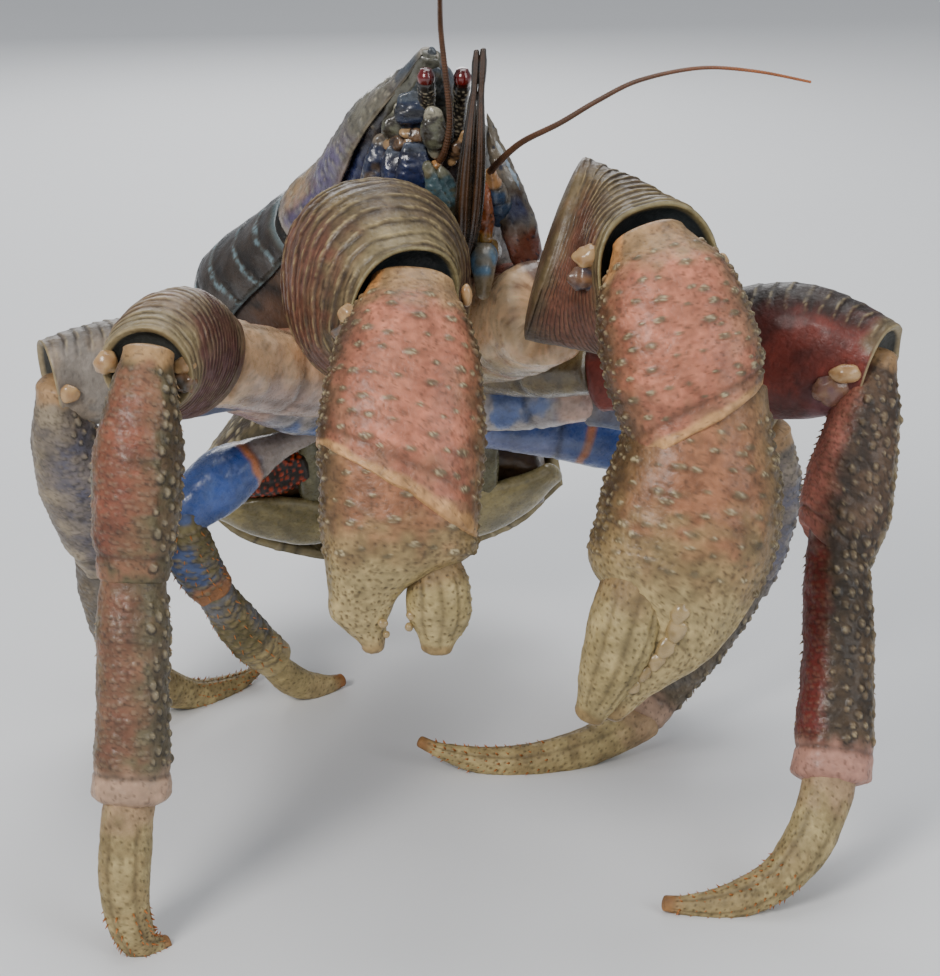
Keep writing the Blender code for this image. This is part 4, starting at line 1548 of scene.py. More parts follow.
@dataclass(frozen=True)
class Leg:
    """One long walking leg."""

    name: str
    base: Form
    merus: Form
    carpus: Form
    propodus: Form
    dactylus: Form
    colours: LegColours
    condyles: tuple[Knob, ...]
    slot: Slot
    seed: int
    merus_arc: Span = WHOLE
    merus_steps: float = 17.0
    pearl_arc: Span = (130.0, 215.0)

    def build(self) -> list[Object]:
        """Build the leg's pieces.

        Returns:
            The pieces, tied to the frame.
        """
        made = [self.build_base(), self.build_merus(), self.build_shank(Shank.CARPUS),
                self.build_shank(Shank.PROPODUS), self.build_dactylus(), self.dress_bristles(),
                self.dress_spines(Shank.CARPUS), self.dress_spines(Shank.PROPODUS)]
        if self.condyles:
            made.append(Knobs(f"{self.name}_condyles", self.condyles, CREAM, (150, 116, 84),
                              self.slot).build())
        return made

    def build_base(self) -> Object:
        """Build the short base segments.

        Returns:
            The piece, tied to the frame.
        """
        coat = Coat(*self.colours.base, self.colours.patches.get("base", ()), speck=0.3, grit=0.25)
        reliefs = (Lumps(8.0, 0.6), Seam(0.55, 0.03, 0.6), Grooves((60.0, 125.0, 235.0), 0.4, 8.0))
        return Part(f"{self.name}_base", self.base, coat, GLOSS, self.slot, reliefs,
                    Ends(tip=2.5), sides=80, rows=60).build()

    def build_merus(self) -> Object:
        """Build the third segment with its scaly steps.

        Returns:
            The piece, tied to the frame.
        """
        # The pale crests of the steps are partly painted glints, and the dark cup colour is painted
        # shade inside the open end.
        coat = Coat(*self.colours.merus, self.colours.patches.get("merus", ()),
                    pale=(170, 164, 140), dark=(36, 30, 30), rim=(150, 142, 116), cup=(58, 62, 62))
        reliefs = (Lumps(9.0, 0.4),
                   Terraces(self.merus_steps, 0.5, 0.16, (0.06, 0.98), self.merus_arc, edge=0.7))
        return Part(f"{self.name}_merus", self.merus, coat, SHELL, self.slot, reliefs,
                    Ends(root=3.0, cup=4.0, lip=0.7, wall=0.84), sides=160, rows=170).build()

    def build_shank(self, shank: Shank) -> Object:
        """Build the fourth or fifth segment with its rows of pearls.

        Args:
            shank: Which of the two.

        Returns:
            The piece.
        """
        part = shank.value
        patches = self.colours.patches.get(part, ())
        if shank is Shank.CARPUS:
            form, colours, last, tip = self.carpus, self.colours.carpus, 0.95, 2.0
            joint = band((176, 146, 110), -1.0, 0.06, 0.03, 0.8)
        else:
            form, colours, last, tip = self.propodus, self.colours.propodus, 0.87, 3.5
            joint = band(self.colours.collar, 0.88, 2.0, 0.04, 0.85)
        coat = Coat(*colours, (*patches, joint), tip=self.colours.pearl, blotch=5.0, speck=0.45)
        own = self.seed + len(part)
        low, high = self.pearl_arc
        # The pearls' tips take the pearl colour, partly their own and partly painted glints; the fine
        # pearls' feet carry painted shade.
        reliefs = (Lumps(7.0, 0.4), Lumps(2.2, 0.2, own),
                   Tubercles(1.9, 0.5, 0.16, (0.08, last), (high - 360.0, low), own,
                             foot=0.45, gloss=0.25, wide=1.4),
                   Tubercles(3.3, 1.05, 0.7, (0.08, last), (low, high), own + 3,
                             gloss=0.55, wide=0.75, crumb_and_glint=0.5),
                   Seam(0.9, 0.015, 0.35))
        return Part(f"{self.name}_{part}", form, coat, SHELL, self.slot, reliefs,
                    Ends(root=2.0, tip=tip), sides=150, rows=190).build()

    def build_dactylus(self) -> Object:
        """Build the curved last segment.

        Returns:
            The piece, tied to the frame.
        """
        coat = Coat(BEIGE, (150, 138, 104), (
            band((170, 146, 126), -1.0, 0.1, 0.06, 0.7),
            band(RUSSET, 0.95, 2.0, 0.03, 0.8),
        ), dark=PIT, blotch=4.0)
        reliefs = (Lumps(6.0, 0.25), Lumps(1.8, 0.1, 5), Grooves((60.0, 120.0), 0.25, 8.0),
                   Pits(1.9, 0.45, 0.28, (0.04, 0.97), seed=self.seed + 20))
        return Part(f"{self.name}_dactylus", self.dactylus, coat, FINGER, Slot.FINGER, reliefs,
                    Ends(root=3.0, tip=0.8), sides=110, rows=190).build()

    def dress_spines(self, shank: Shank) -> Object:
        """Add the small spines of a segment.

        Args:
            shank: The segment.

        Returns:
            The piece.
        """
        form = self.carpus if shank is Shank.CARPUS else self.propodus
        rows = tuple(SpineRow((0.12, 0.86), angle, number, 0.9, 0.32, 0.9)
                     for angle, number in ((-8, 20), (186, 20), (215, 12)))
        return Spines(f"{self.name}_{shank.value}_spines", form, rows, (78, 66, 60),
                      (214, 190, 150), self.slot, self.seed + 31).build()

    def dress_bristles(self) -> Object:
        """Add the short orange spines of the last segment.

        Returns:
            The piece, tied to the frame.
        """
        rows = tuple(SpineRow((0.42, 0.97), angle, number, 0.9, 0.3, 0.8)
                     for angle, number in ((0, 13), (35, 11), (70, 11), (110, 11), (145, 11),
                                           (180, 13), (225, 9), (270, 9), (315, 9)))
        return Spines(f"{self.name}_dactylus_spines", self.dactylus, rows, (150, 110, 64),
                      (196, 112, 50), Slot.FINGER, self.seed + 41).build()


@dataclass(frozen=True)
class PincerLeg:
    """One short leg of the fourth pair, which ends in a small pincer."""

    name: str
    merus: Form
    carpus: Form
    propodus: Form
    finger: Form
    merus_patches: tuple[Patch, ...]
    seed: int

    def build(self) -> list[Object]:
        """Build the leg's pieces.

        Returns:
            The pieces, tied to the frame.
        """
        bumps = [(Lumps(5.0, 0.3),
                  Tubercles(2.2, 0.6, 0.3, (0.1, 0.9), seed=self.seed + i, foot=0.7))
                 for i in (0, 1)]
        parts = (
            Part(f"{self.name}_merus", self.merus,
                 Coat((62, 88, 150), (80, 100, 150), self.merus_patches, speck=0.15, blotch=4.0),
                 GLOSS, Slot.BLUE, (Lumps(6.0, 0.3), Lumps(1.6, 0.1, 6), Seam(0.5, 0.02, 0.3)),
                 sides=90, rows=100),
            Part(f"{self.name}_carpus", self.carpus,
                 Coat((84, 96, 130), MOSS, (band((150, 110, 80), 0.8, 2.0),), tip=(120, 116, 100)),
                 SHELL, Slot.BLUE, bumps[0], sides=90, rows=80),
            Part(f"{self.name}_propodus", self.propodus,
                 Coat(MOSS, (104, 108, 118), (band(BEIGE, 0.72, 2.0),), tip=(132, 124, 98)),
                 SHELL, Slot.BLUE, bumps[1], sides=90, rows=90),
            Part(f"{self.name}_finger", self.finger,
                 Coat(BEIGE, SAND, (band(RUSSET, 0.92, 2.0),), dark=PIT),
                 FINGER, Slot.FINGER, (Lumps(4.0, 0.2), Pits(1.7, 0.38, 0.2, seed=self.seed + 2)),
                 Ends(tip=1.0), sides=80, rows=90),
        )
        rows = tuple(SpineRow((0.15, 0.95), angle, 8, 1.3, 0.32, 0.8)
                     for angle in (10, 50, 90, 130, 170))
        spines = [Spines(f"{self.name}_{part}_spines", form, rows, (120, 96, 66),
                         (206, 130, 60), Slot.BLUE, self.seed + 3)
                  for part, form in (("carpus", self.carpus), ("propodus", self.propodus))]
        return [piece.build() for piece in (*parts, *spines)]


@dataclass(frozen=True)
class Carapace:
    """The head shield, the gill covers and the body between them."""

    form: Form
    groove: float = 0.56

    def build(self) -> list[Object]:
        """Build the body's pieces.

        Returns:
            The pieces, tied to the frame.
        """
        dark = Coat((70, 60, 54), COAL, (Patch((120, 92, 78), (0.0, 0.5), (225.0, 315.0), 0.1, 0.7),))
        thorax = Part("thorax", self.form, dark, SHELL, Slot.DARK,
                      (Lumps(12.0, 0.6), Grooves((250.0, 290.0), 1.0, 8.0)),
                      Ends(root=3.0), sides=110, rows=90,
                      span=(0.0, self.groove - 0.01), grow=0.95)
        face = Part("face", self.form,
                    Coat((60, 58, 62), (44, 36, 34), (
                        Patch((34, 46, 96), (0.62, 0.8), (300.0, 345.0), 0.08, 0.7),
                        Patch((150, 118, 84), (0.56, 0.66), (225.0, 300.0), 0.06, 0.6),
                        band((98, 104, 100), 0.86, 2.0, 0.04, 0.8),
                    ), pale=(150, 170, 190), dark=(20, 20, 26), blotch=4.0, speck=0.5),
                    GLOSS, Slot.DARK,
                    (Lumps(5.0, 0.7), Grooves((255.0, 285.0, 305.0), 0.6, 6.0, (0.6, 0.9)),
                     Tubercles(3.2, 0.9, 0.5, (0.58, 0.9), (200.0, 340.0), 6, foot=0.8,
                               gloss=0.3)),
                    Ends(tip=1.0), sides=150, rows=130,
                    span=(self.groove + 0.01, 0.985), grow=0.88)
        shield_coat = Coat((126, 120, 114), (98, 88, 90), (
            Patch((92, 78, 122), (0.56, 0.8), (-60.0, 4.0), 0.06, 0.8),
            Patch((176, 150, 104), (0.58, 0.66), (-14.0, 16.0), 0.04, 0.7),
            Patch((128, 134, 146), (0.6, 0.85), (180.0, 240.0), 0.06, 0.7),
            Patch((104, 112, 106), (0.78, 0.93), (-60.0, 240.0), 0.06, 0.6),
            band((64, 76, 90), 0.93, 2.0, 0.03, 0.85),
        ), pale=(188, 186, 176), dark=(30, 32, 40), tip=(132, 138, 136), blotch=4.0, speck=0.5)
        # The shield's pearls have pale tips and pale granules that are painted glints, and painted
        # shade round their feet.
        shield = Plate("shield", self.form, (self.groove + 0.008, 0.992), (-40.0, 220.0),
                       shield_coat, GLOSS, Slot.DARK,
                       (Lumps(9.0, 0.5), Lumps(2.6, 0.15, 12),
                        Tubercles(3.0, 0.7, 0.2, (0.5, 0.94), (-40.0, 220.0), 5,
                                  foot=0.6, gloss=0.5, wide=1.4, crumb_and_glint=0.6),
                        Grooves((70.0, 110.0), 0.6, 6.0, (0.6, 0.9))),
                       thickness=1.3, edge=0.5, sides=200, rows=130)
        behind = (0.01, self.groove - 0.012)
        back = Plate("back", self.form, behind, (60.8, 119.2), Coat((96, 84, 78), (70, 58, 60)),
                     SHELL, Slot.DARK,
                     (Lumps(9.0, 0.5), Tubercles(3.0, 0.8, 0.3, (0.0, 0.6), (60.0, 120.0), 8)),
                     thickness=2.0, edge=0.6, sides=100, rows=110, solid=False)
        # The pale blue on the gill covers' step edges is painted glints.
        gill_coat = Coat((20, 24, 28), (32, 32, 34), tuple(
            Patch((62, 50, 40), (0.3, 0.6), arc, 0.1, 0.6) for arc in ((-60.0, 12.0), (168.0, 240.0))
        ), pale=(134, 160, 170), dark=(8, 9, 11), tip=(120, 140, 152))
        gills = [Plate(f"branchial_{side}", self.form, behind, arc, gill_coat, GLOSS, Slot.DARK,
                       (Lumps(10.0, 0.5), Terraces(17.0, 0.4, 0.08, ALONG, edge=0.9)),
                       thickness=2.0, edge=0.9, sides=170, rows=190)
                 for side, arc in (("right", (-38.0, 60.0)), ("left", (120.0, 218.0)))]
        return [piece.build() for piece in (thorax, face, shield, *gills, back)]


@dataclass(frozen=True)
class Abdomen:
    """The folded abdomen: back plates round a soft underside with its tail plates."""

    dome: Form
    belly: Form
    lenses: tuple[tuple[str, Form], ...]
    posts: tuple[Form, ...]
    spot: Form

    def build(self) -> list[Object]:
        """Build the abdomen's pieces.

        Returns:
            The pieces, tied to the frame.
        """
        rim = (156, 148, 114)
        coat = Coat((92, 86, 66), (78, 66, 62), (
            *(Patch(rim, ALONG, arc, 0.02, 0.9) for arc in ((82.0, 98.0), (262.0, 278.0))),
            *(band(rim, *span, 0.02, 0.8) for span in ((-1.0, 0.05), (0.95, 2.0))),
        ), pale=(160, 156, 128), grit=0.25)
        arcs = ((91.0, 141.5), (142.5, 179.5), (180.5, 217.5), (218.5, 269.0))
        pieces = [Plate(f"tergite_{number}", self.dome, (0.012, 0.988), arc, coat, SHELL, Slot.DARK,
                        (Lumps(10.0, 0.5), Terraces(3.0, 0.5, 0.1, around=True),
                         Tubercles(3.6, 0.9, 0.35, (0.03, 0.97), arc, number)),
                        thickness=3.0, edge=0.7, sides=60, rows=150)
                  for number, arc in enumerate(arcs, start=1)]
        pieces.append(Part("belly", self.belly, Coat(BRONZE, (88, 70, 50), speck=0.2, pale=MOSS),
                           SOFT, Slot.BELLY, (Lumps(7.0, 0.9), Grooves((30.0, -30.0), 0.8, 9.0)),
                           sides=110, rows=110))
        lens_coat = Coat((158, 152, 114), (134, 130, 98), (
            *(band((156, 150, 116), *span, 0.04, 0.8) for span in ((-1.0, 0.06), (0.94, 2.0))),
            Patch((48, 42, 32), ALONG, (250.0, 290.0), 0.05, 0.8),
        ), blotch=4.0, speck=0.3, grit=0.25)
        pieces += [Part(f"tail_plate_{side}", form, lens_coat, GLOSS, Slot.BELLY,
                        (Lumps(8.0, 0.3),), sides=90, rows=90) for side, form in self.lenses]
        pieces += [Part(f"belly_post_{number}", form,
                        Coat((126, 130, 108), (104, 104, 82), grit=0.25), GLOSS, Slot.BELLY,
                        (Lumps(6.0, 0.3), Grooves((0.0, 180.0), 0.5, 12.0)),
                        sides=64, rows=80, solid=False)
                   for number, form in enumerate(self.posts, start=1)]
        pieces.append(Part("belly_spot", self.spot,
                           Coat((44, 32, 24), (30, 24, 20), blotch=2.0, tip=(214, 78, 28)),
                           SOFT, Slot.BELLY,
                           (Lumps(4.0, 0.5),
                            Tubercles(1.9, 0.62, 0.4, (0.0, 1.0), seed=3, wide=1.2)),
                           sides=80, rows=70, solid=False))
        return [piece.build() for piece in pieces]


@dataclass(frozen=True)
class Head:
    """The eyes, feelers, mouthparts and the plates of the face."""

    stalks: dict[str, Form]
    eyes: dict[str, Form]
    peduncles: dict[str, Form]
    whips: dict[str, tuple[Triple, ...]]
    stems: dict[str, Form]
    clubs: dict[str, Form]
    mouth: dict[str, Form]
    plates: tuple[tuple[str, Form, Coat], ...]

    def build(self) -> list[Object]:
        """Build the head's pieces.

        Returns:
            The pieces, tied to the frame.
        """
        made = []
        for side in ("right", "left"):
            made += self.build_eye(side) + self.build_feelers(side)
            made.append(self.build_mouth(side))
        for name, form, coat in self.plates:
            made.append(Part(name, form, coat, GLOSS, Slot.BLUE,
                             (Lumps(3.2, 0.45), Lumps(1.3, 0.18, 11)),
                             sides=72, rows=72, solid=False).build())
        return made

    def build_mouth(self, side: str) -> Object:
        """Build one of the two large mouthparts.

        Args:
            side: The animal's side.

        Returns:
            The piece.
        """
        coat = Coat((120, 154, 178), (144, 144, 140), (
            band((196, 160, 66), 0.3, 0.46, 0.04, 0.8),
            band((150, 82, 48), 0.2, 0.3, 0.04, 0.7),
            band((150, 136, 110), 0.85, 2.0, 0.06, 0.8),
        ), speck=0.1)
        return Part(f"maxilliped_{side}", self.mouth[side], coat, GLOSS, Slot.BLUE,
                    (Lumps(4.0, 0.25), Seam(0.45, 0.03, 0.5)), sides=90, rows=90).build()

    def build_eye(self, side: str) -> list[Object]:
        """Build one eye on its stalk.

        Args:
            side: The animal's side.

        Returns:
            The stalk and the eye.
        """
        stalk = Part(f"eyestalk_{side}", self.stalks[side],
                     Coat((22, 22, 24), (40, 38, 36), speck=0.0, tip=(170, 168, 156)),
                     GLOSS, Slot.DARK,
                     (Lumps(3.0, 0.15),
                      Tubercles(1.3, 0.3, 0.12, (0.1, 0.95), seed=4, foot=0.2, gloss=0.7)),
                     sides=80, rows=100)
        eye = Part(f"eye_{side}", self.eyes[side],
                   Coat((96, 12, 12), (66, 8, 10), (band((30, 8, 8), -1.0, 0.22, 0.06, 0.9),),
                        speck=0.0), CORNEA, Slot.EYE, (), Ends(root=0.5, tip=0.6), sides=64, rows=56)
        return [stalk.build(), eye.build()]

    def build_feelers(self, side: str) -> list[Object]:
        """Build one long and one short feeler.

        Args:
            side: The animal's side.

        Returns:
            The pieces.
        """
        peduncle = Part(f"antenna_{side}", self.peduncles[side],
                        Coat((70, 92, 120), (120, 112, 100),
                             (band((200, 150, 96), 0.75, 2.0, 0.05, 0.7),), speck=0.2),
                        GLOSS, Slot.BLUE,
                        (Lumps(3.0, 0.3), Seam(0.45, 0.03, 0.5), Seam(0.7, 0.03, 0.4)),
                        Ends(root=1.0, tip=0.6), sides=80, rows=80)
        whip = Whip(f"antenna_{side}_whip", self.whips[side])
        coat = Coat((46, 36, 28), (24, 22, 22),
                    (Patch((96, 66, 44), (0.0, 1.0), (60.0, 120.0), 0.05, 0.5),), speck=0.1)
        stem = Part(f"antennule_{side}", self.stems[side], coat, GLOSS, Slot.DARK,
                    (Grooves((50.0, 90.0, 130.0), 0.25, 10.0, (0.0, 1.0)),), sides=64, rows=120)
        club = Part(f"antennule_{side}_club", self.clubs[side], coat, GLOSS, Slot.DARK,
                    (Grooves((90.0,), 0.15, 16.0),), Ends(root=0.6, tip=0.6), sides=48, rows=90,
                    solid=False)
        return [piece.build() for piece in (peduncle, whip, stem, club)]


@dataclass(frozen=True)
class Lamp:
    """One soft area light."""

    place: Triple
    size: float
    power: float
    colour: Triple = (1.0, 1.0, 1.0)


@dataclass(frozen=True)
class Studio:
    """The floor, the lights, the world and the camera."""

    lamps: tuple[Lamp, ...]
    aim: Triple = (0.0, 0.0, 0.12)

    def build(self) -> None:
        """Build the studio."""
        self.build_floor()
        for number, lamp in enumerate(self.lamps, start=1):
            self.add_lamp(number, lamp)
        self.build_world()
        self.build_camera()

    def build_floor(self) -> None:
        """Make the plain pale floor."""
        bm = bmesh.new()
        bmesh.ops.create_grid(bm, x_segments=4, y_segments=4, size=FLOOR_SIZE * 0.5)
        mesh = bpy.data.meshes.new("floor")
        bm.to_mesh(mesh)
        bm.free()
        material = bpy.data.materials.new("Floor")
        material.use_nodes = True
        tree = material.node_tree
        place = add_node(tree, "TexCoord")
        texture = add_node(tree, "TexNoise", Scale=3.0)
        ramp = add_node(tree, "ValToRGB")
        for element, shade in zip(ramp.color_ramp.elements, FLOOR_SHADES):
            element.color = shade
        shader = tree.nodes["Principled BSDF"]
        shader.inputs["Roughness"].default_value = 0.7
        tree.links.new(place.outputs["Object"], texture.inputs["Vector"])
        tree.links.new(texture.outputs["Fac"], ramp.inputs["Fac"])
        tree.links.new(ramp.outputs["Color"], shader.inputs["Base Color"])
        mesh.materials.append(material)
        floor = add_object("floor", mesh)
        floor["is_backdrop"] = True

    def add_lamp(self, number: int, lamp: Lamp) -> None:
        """Add one light.

        Args:
            number: Used in its name.
            lamp: Its place, size and power.
        """
        light = bpy.data.lights.new(f"lamp_{number}", "AREA")
        light.shape = "DISK"
        light.size = lamp.size
        light.energy = lamp.power
        light.color = lamp.colour
        obj = add_object(f"lamp_{number}", light)
        obj.location = lamp.place
        toward = Vector(self.aim) - Vector(lamp.place)
        obj.rotation_euler = toward.to_track_quat("-Z", "Y").to_euler()

    def build_world(self) -> None:
        """Make the soft even sky."""
        world = bpy.data.worlds.new("sky")
        world.use_nodes = True
        back = world.node_tree.nodes["Background"]
        back.inputs["Color"].default_value = SKY_COLOUR
        back.inputs["Strength"].default_value = SKY_STRENGTH
        bpy.context.scene.world = world

    def build_camera(self) -> None:
        """Place the camera at the photograph's viewing angle."""
        data = bpy.data.cameras.new("camera")
        data.sensor_width = SENSOR
        data.lens = CAMERA_LENS
        camera = add_object("camera", data)
        camera.location = CAMERA_PLACE
        camera.rotation_euler = (math.radians(CAMERA_PITCH), 0.0, 0.0)
        bpy.context.scene.camera = camera


FACE_UP = (0.0, -1.0, 0.2)

RIGHT_CLAW = Claw(
    side="right",
    base=Form(((-29, 34, 122), (-20, -2, 136)), (0, 0.4, 1), (24, 28, 30, 26), (24, 28, 32, 28)),
    merus=Form(((-21, -1, 140), (-29, -27, 161), (-16.4, -50, 155)), (-0.1, 0.5, 1),
               (26, 40, 47, 44, 30), (26, 41, 52, 50, 33)),
    carpus=Form(((-14.0, -51, 161.5), (-15.5, -66, 146), (-17.4, -79, 118)), (0, -1, 0.3),
                (20, 30, 37, 40, 39.5), (14, 27, 31, 32, 31), skew=0.16, skew_angle=180.0),
    palm=Form(((-17.3, -73, 133), (-17, -83, 106), (-17, -86.5, 80.5)), FACE_UP,
              (36, 38, 38, 38, 36, 19, 14, 6), (27, 29, 30, 30, 26, 19, 13, 6),
              offsets=(0, 0, 0, 0, 0.5, 7.5, 9.5, 6.5)),
    finger=Form(((-8.6, -84, 101), (-6.5, -86, 92), (-8, -87, 80.5)), FACE_UP,
                (12, 15.5, 15, 8), (14, 17, 14, 7)),
    merus_steps=21.0,
    merus_arc=WHOLE,
    fold=((-37.8, -87.0, 125.2), (-16.2, -98.0, 112.2)),
    teeth=(Knob((-14.2, -90, 90), (2.4, 2.6, 2.6)), Knob((-14.6, -90, 87), (2.0, 2.2, 2.2)),
           Knob((-20.8, -90, 88), (2.4, 2.4, 2.6)), Knob((-20.0, -90, 85), (1.8, 2.0, 2.0))),
    condyles=(Knob((-28.8, -57.2, 155.3), (7.6, 3.6, 5.2)),
              Knob((-30.0, -56.0, 149.8), (7.0, 4.4, 6.0), tint=(84, 96, 110)),
              Knob((-0.9, -50.4, 158.2), (3.0, 4.0, 5.6))),
    seed=100,
    palm_end=0.6,
)

LEFT_CLAW = Claw(
    side="left",
    base=Form(((-3, 38, 120), (19, -4, 140)), (0, 0.4, 1), (26, 30, 30, 26), (26, 29, 30, 28)),
    merus=Form(((22, -14.8, 160.5), (40, -17, 155), (47.4, -39.2, 157.4)), (-0.25, 0.33, 0.92),
               (30, 33, 34, 34, 33), (49, 47, 45, 43, 42), power=2.5),
    carpus=Form(((43.5, -42, 170.5), (51, -54, 152), (55, -61, 128)), (0, -1, 0.3),
                (18, 32, 38, 38, 35), (16, 29, 33, 33, 30), skew=0.14, skew_angle=0.0),
    palm=Form(((56, -57, 136), (57, -70, 92), (35, -78, 59)), FACE_UP,
              (34, 38, 44, 45, 41, 25, 14, 7), (29, 32, 35, 35, 31, 21, 14, 6),
              offsets=(0, 0, 0, 0, 1, -3, -1, 0)),
    finger=Form(((41, -73, 96), (37, -79.5, 76), (29.5, -79, 59)), FACE_UP,
                (15, 18, 15, 8), (18, 22, 17, 8)),
    merus_steps=11.0,
    merus_arc=(24.0, 230.0),
    fold=((74.0, -66.0, 131.0), (44.0, -80.0, 116.0)),
    teeth=(Knob((50.7, -84.7, 88.6), (4.4, 3.2, 6.0), (0, 20, 0)),
           Knob((49.9, -84.2, 83.6), (5.0, 3.2, 6.4), (0, 24, 0)),
           Knob((47.8, -83.6, 79.0), (4.6, 3.0, 6.0), (0, 28, 0)),
           Knob((45.2, -83.2, 75.0), (4.2, 2.8, 5.6), (0, 32, 0)),
           Knob((42.6, -82.8, 71.4), (3.8, 2.6, 5.2), (0, 34, 0)),
           Knob((40.0, -82.4, 68.0), (3.2, 2.4, 4.4), (0, 34, 0))),
    condyles=(Knob((29.6, -39.2, 164.8), (8.6, 4.4, 5.6)),
              Knob((28.8, -38.8, 159.2), (9.6, 5.4, 7.0), tint=(40, 52, 78)),
              Knob((61.4, -48.5, 165.4), (3.6, 4.5, 5.6))),
    seed=200,
    palm_end=0.56,
)

RED_LEG = LegColours(
    # The base segments' beige-pink is brightened to make up for the shade that falls on them in the
    # scene: their own colour and painted light.
    base=((246, 226, 208), (238, 210, 182)),
    merus=((128, 114, 98), (106, 78, 75)),
    carpus=((126, 98, 80), (98, 94, 74)),
    propodus=((118, 96, 80), (100, 96, 78)),
    patches={
        "base": (Patch((190, 92, 50), (0.0, 0.9), (70.0, 110.0), 0.06, 0.6),
                 Patch((150, 140, 168), (0.2, 0.9), (200.0, 330.0), 0.14, 0.6)),
        "merus": (Patch((120, 84, 96), (0.1, 0.9), (150.0, 300.0), 0.1, 0.7),
                  band((150, 146, 118), 0.84, 2.0, 0.05, 0.6)),
        "carpus": (Patch((128, 70, 60), (0.15, 0.9), (30.0, 100.0), 0.14, 0.7),
                   Patch((84, 80, 66), ALONG, (126.0, 215.0), 0.08, 0.8)),
        "propodus": (Patch((122, 76, 66), (0.0, 0.85), (40.0, 100.0), 0.14, 0.6),
                     Patch((86, 82, 68), (-1.0, 0.9), (126.0, 215.0), 0.08, 0.8)),
    },
)

CRIMSON_LEG = LegColours(
    base=((92, 84, 68), (120, 112, 84)),
    merus=((122, 58, 54), (96, 50, 50)),
    carpus=((90, 74, 62), (62, 52, 46)),
    propodus=((76, 64, 50), (56, 48, 40)),
    patches={
        "merus": (Patch((32, 26, 21), (-1.0, 0.95), (40.0, 140.0), 0.1, 0.95),
                  Patch((160, 120, 140), (0.72, 0.96), (230.0, 330.0), 0.08, 0.7),
                  Patch((104, 106, 84), (0.95, 2.0), (20.0, 180.0), 0.03, 0.7)),
        # The mauve side is lightened to make up for the shade on the side that faces away from the
        # lamps: its own mauve and painted light.
        "carpus": (Patch((192, 126, 120), (0.06, 1.5), (-70.0, 62.0), 0.12, 0.85),
                   Patch((132, 122, 92), ALONG, (150.0, 240.0), 0.06, 0.85)),
        "propodus": (Patch(CRIMSON, (-1.0, 0.86), (-80.0, 66.0), 0.1, 0.85),
                     Patch((140, 128, 100), (-1.0, 0.9), (152.0, 240.0), 0.06, 0.85),
                     Patch((196, 196, 202), (-1.0, 0.1), (20.0, 120.0), 0.04, 0.8)),
    },
    # Pearl tips: partly their own colour, partly painted glints.
    pearl=(138, 126, 108),
    collar=(188, 146, 140),
)

BLUE_LEG = LegColours(
    base=((106, 124, 172), (186, 186, 196)),
    merus=((142, 142, 146), (148, 142, 138)),
    carpus=((148, 142, 132), (114, 110, 110)),
    propodus=((100, 98, 98), (96, 88, 76)),
    patches={
        "base": (Patch(PEARL, (0.55, 1.0), (40.0, 320.0), 0.08, 0.7),
                 band((206, 178, 172), 0.78, 2.0, 0.06, 0.8)),
        "merus": (Patch(AZURE, (0.0, 0.6), (180.0, 360.0), 0.1, 0.4),
                  Patch((70, 66, 64), (-1.0, 1.0), (50.0, 130.0), 0.1, 0.7)),
        "carpus": (Patch((66, 76, 124), (0.2, 0.9), (90.0, 200.0), 0.14, 0.4),),
    },
)

RIGHT_SECOND = Leg(
    name="leg2_right",
    base=Form(((-37, 36, 109), (-67, -12, 129)), (0, 0.4, 1), (20, 22, 22, 22), (21, 23, 23, 23)),
    merus=Form(((-70, -18, 130.5), (-77, -30, 140), (-80, -47, 138)), (0.4, 0.3, 1),
               (26, 28, 28, 24), (31, 35, 33, 24), power=1.9),
    carpus=Form(((-79, -52, 144), (-82, -64, 120), (-83, -69, 92)), FACE_UP,
                (13, 18, 22, 21, 18), (12, 21, 23, 21, 17)),
    propodus=Form(((-83, -69.5, 92), (-83, -78, 66), (-84, -84, 40)), FACE_UP,
                  (16, 18, 17.5, 18, 20), (15, 18, 18, 18, 18)),
    dactylus=Form(((-84, -84, 41), (-90, -97, -3), (-76, -88, 0.5)), (0, -1, 0.3),
                  (13, 13, 11.5, 9, 4), (13, 13, 11.5, 8, 3.5)),
    colours=RED_LEG,
    condyles=(Knob((-90.2, -46.2, 139.4), (6.4, 4.4, 6.4)),
              Knob((-70.9, -47.8, 139.2), (5.8, 4.0, 4.0)),
              Knob((-70.8, -47.6, 135.0), (6.4, 4.4, 5.4), tint=(64, 76, 84))),
    pearl_arc=(118.0, 205.0),
    slot=Slot.RED,
    seed=300,
)

LEFT_SECOND = Leg(
    name="leg2_left",
    base=Form(((0, 40, 111), (35, 12, 120.5)), (0, 0.4, 1), (20, 22, 22, 20), (14, 16, 17, 16)),
    merus=Form(((34, 12, 118), (86, 6, 132), (107.5, -8, 126)), (0, 0.2, 1),
               (18, 22, 25, 21), (20, 33, 36, 25)),
    carpus=Form(((108, -6, 129), (101, -16, 104), (95.5, -28, 80)), (0, -1, 0.4),
                (9, 17, 22, 24, 20), (12, 20, 22, 20, 17), skew=0.15, skew_angle=180.0),
    propodus=Form(((95.5, -23, 91), (97, -41, 58), (93.5, -55, 31)), (0, -1, 0.4),
                  (13, 17, 18, 19, 20, 21), (12, 17, 18, 18, 18, 18)),
    dactylus=Form(((93, -56, 32), (86, -73, -2), (50, -72, 2.5)), (0, -1, 0.4),
                  (14, 13, 11, 9, 4), (14, 13, 12, 8, 3.5)),
    colours=CRIMSON_LEG,
    condyles=(Knob((97.6, -15.8, 127.2), (8.0, 4.4, 5.0)),
              Knob((94.4, -14.2, 122.0), (10.0, 4.4, 8.0), tint=(112, 84, 104))),
    merus_arc=(40.0, 140.0),
    pearl_arc=(72.0, 158.0),
    slot=Slot.RED,
    seed=400,
)

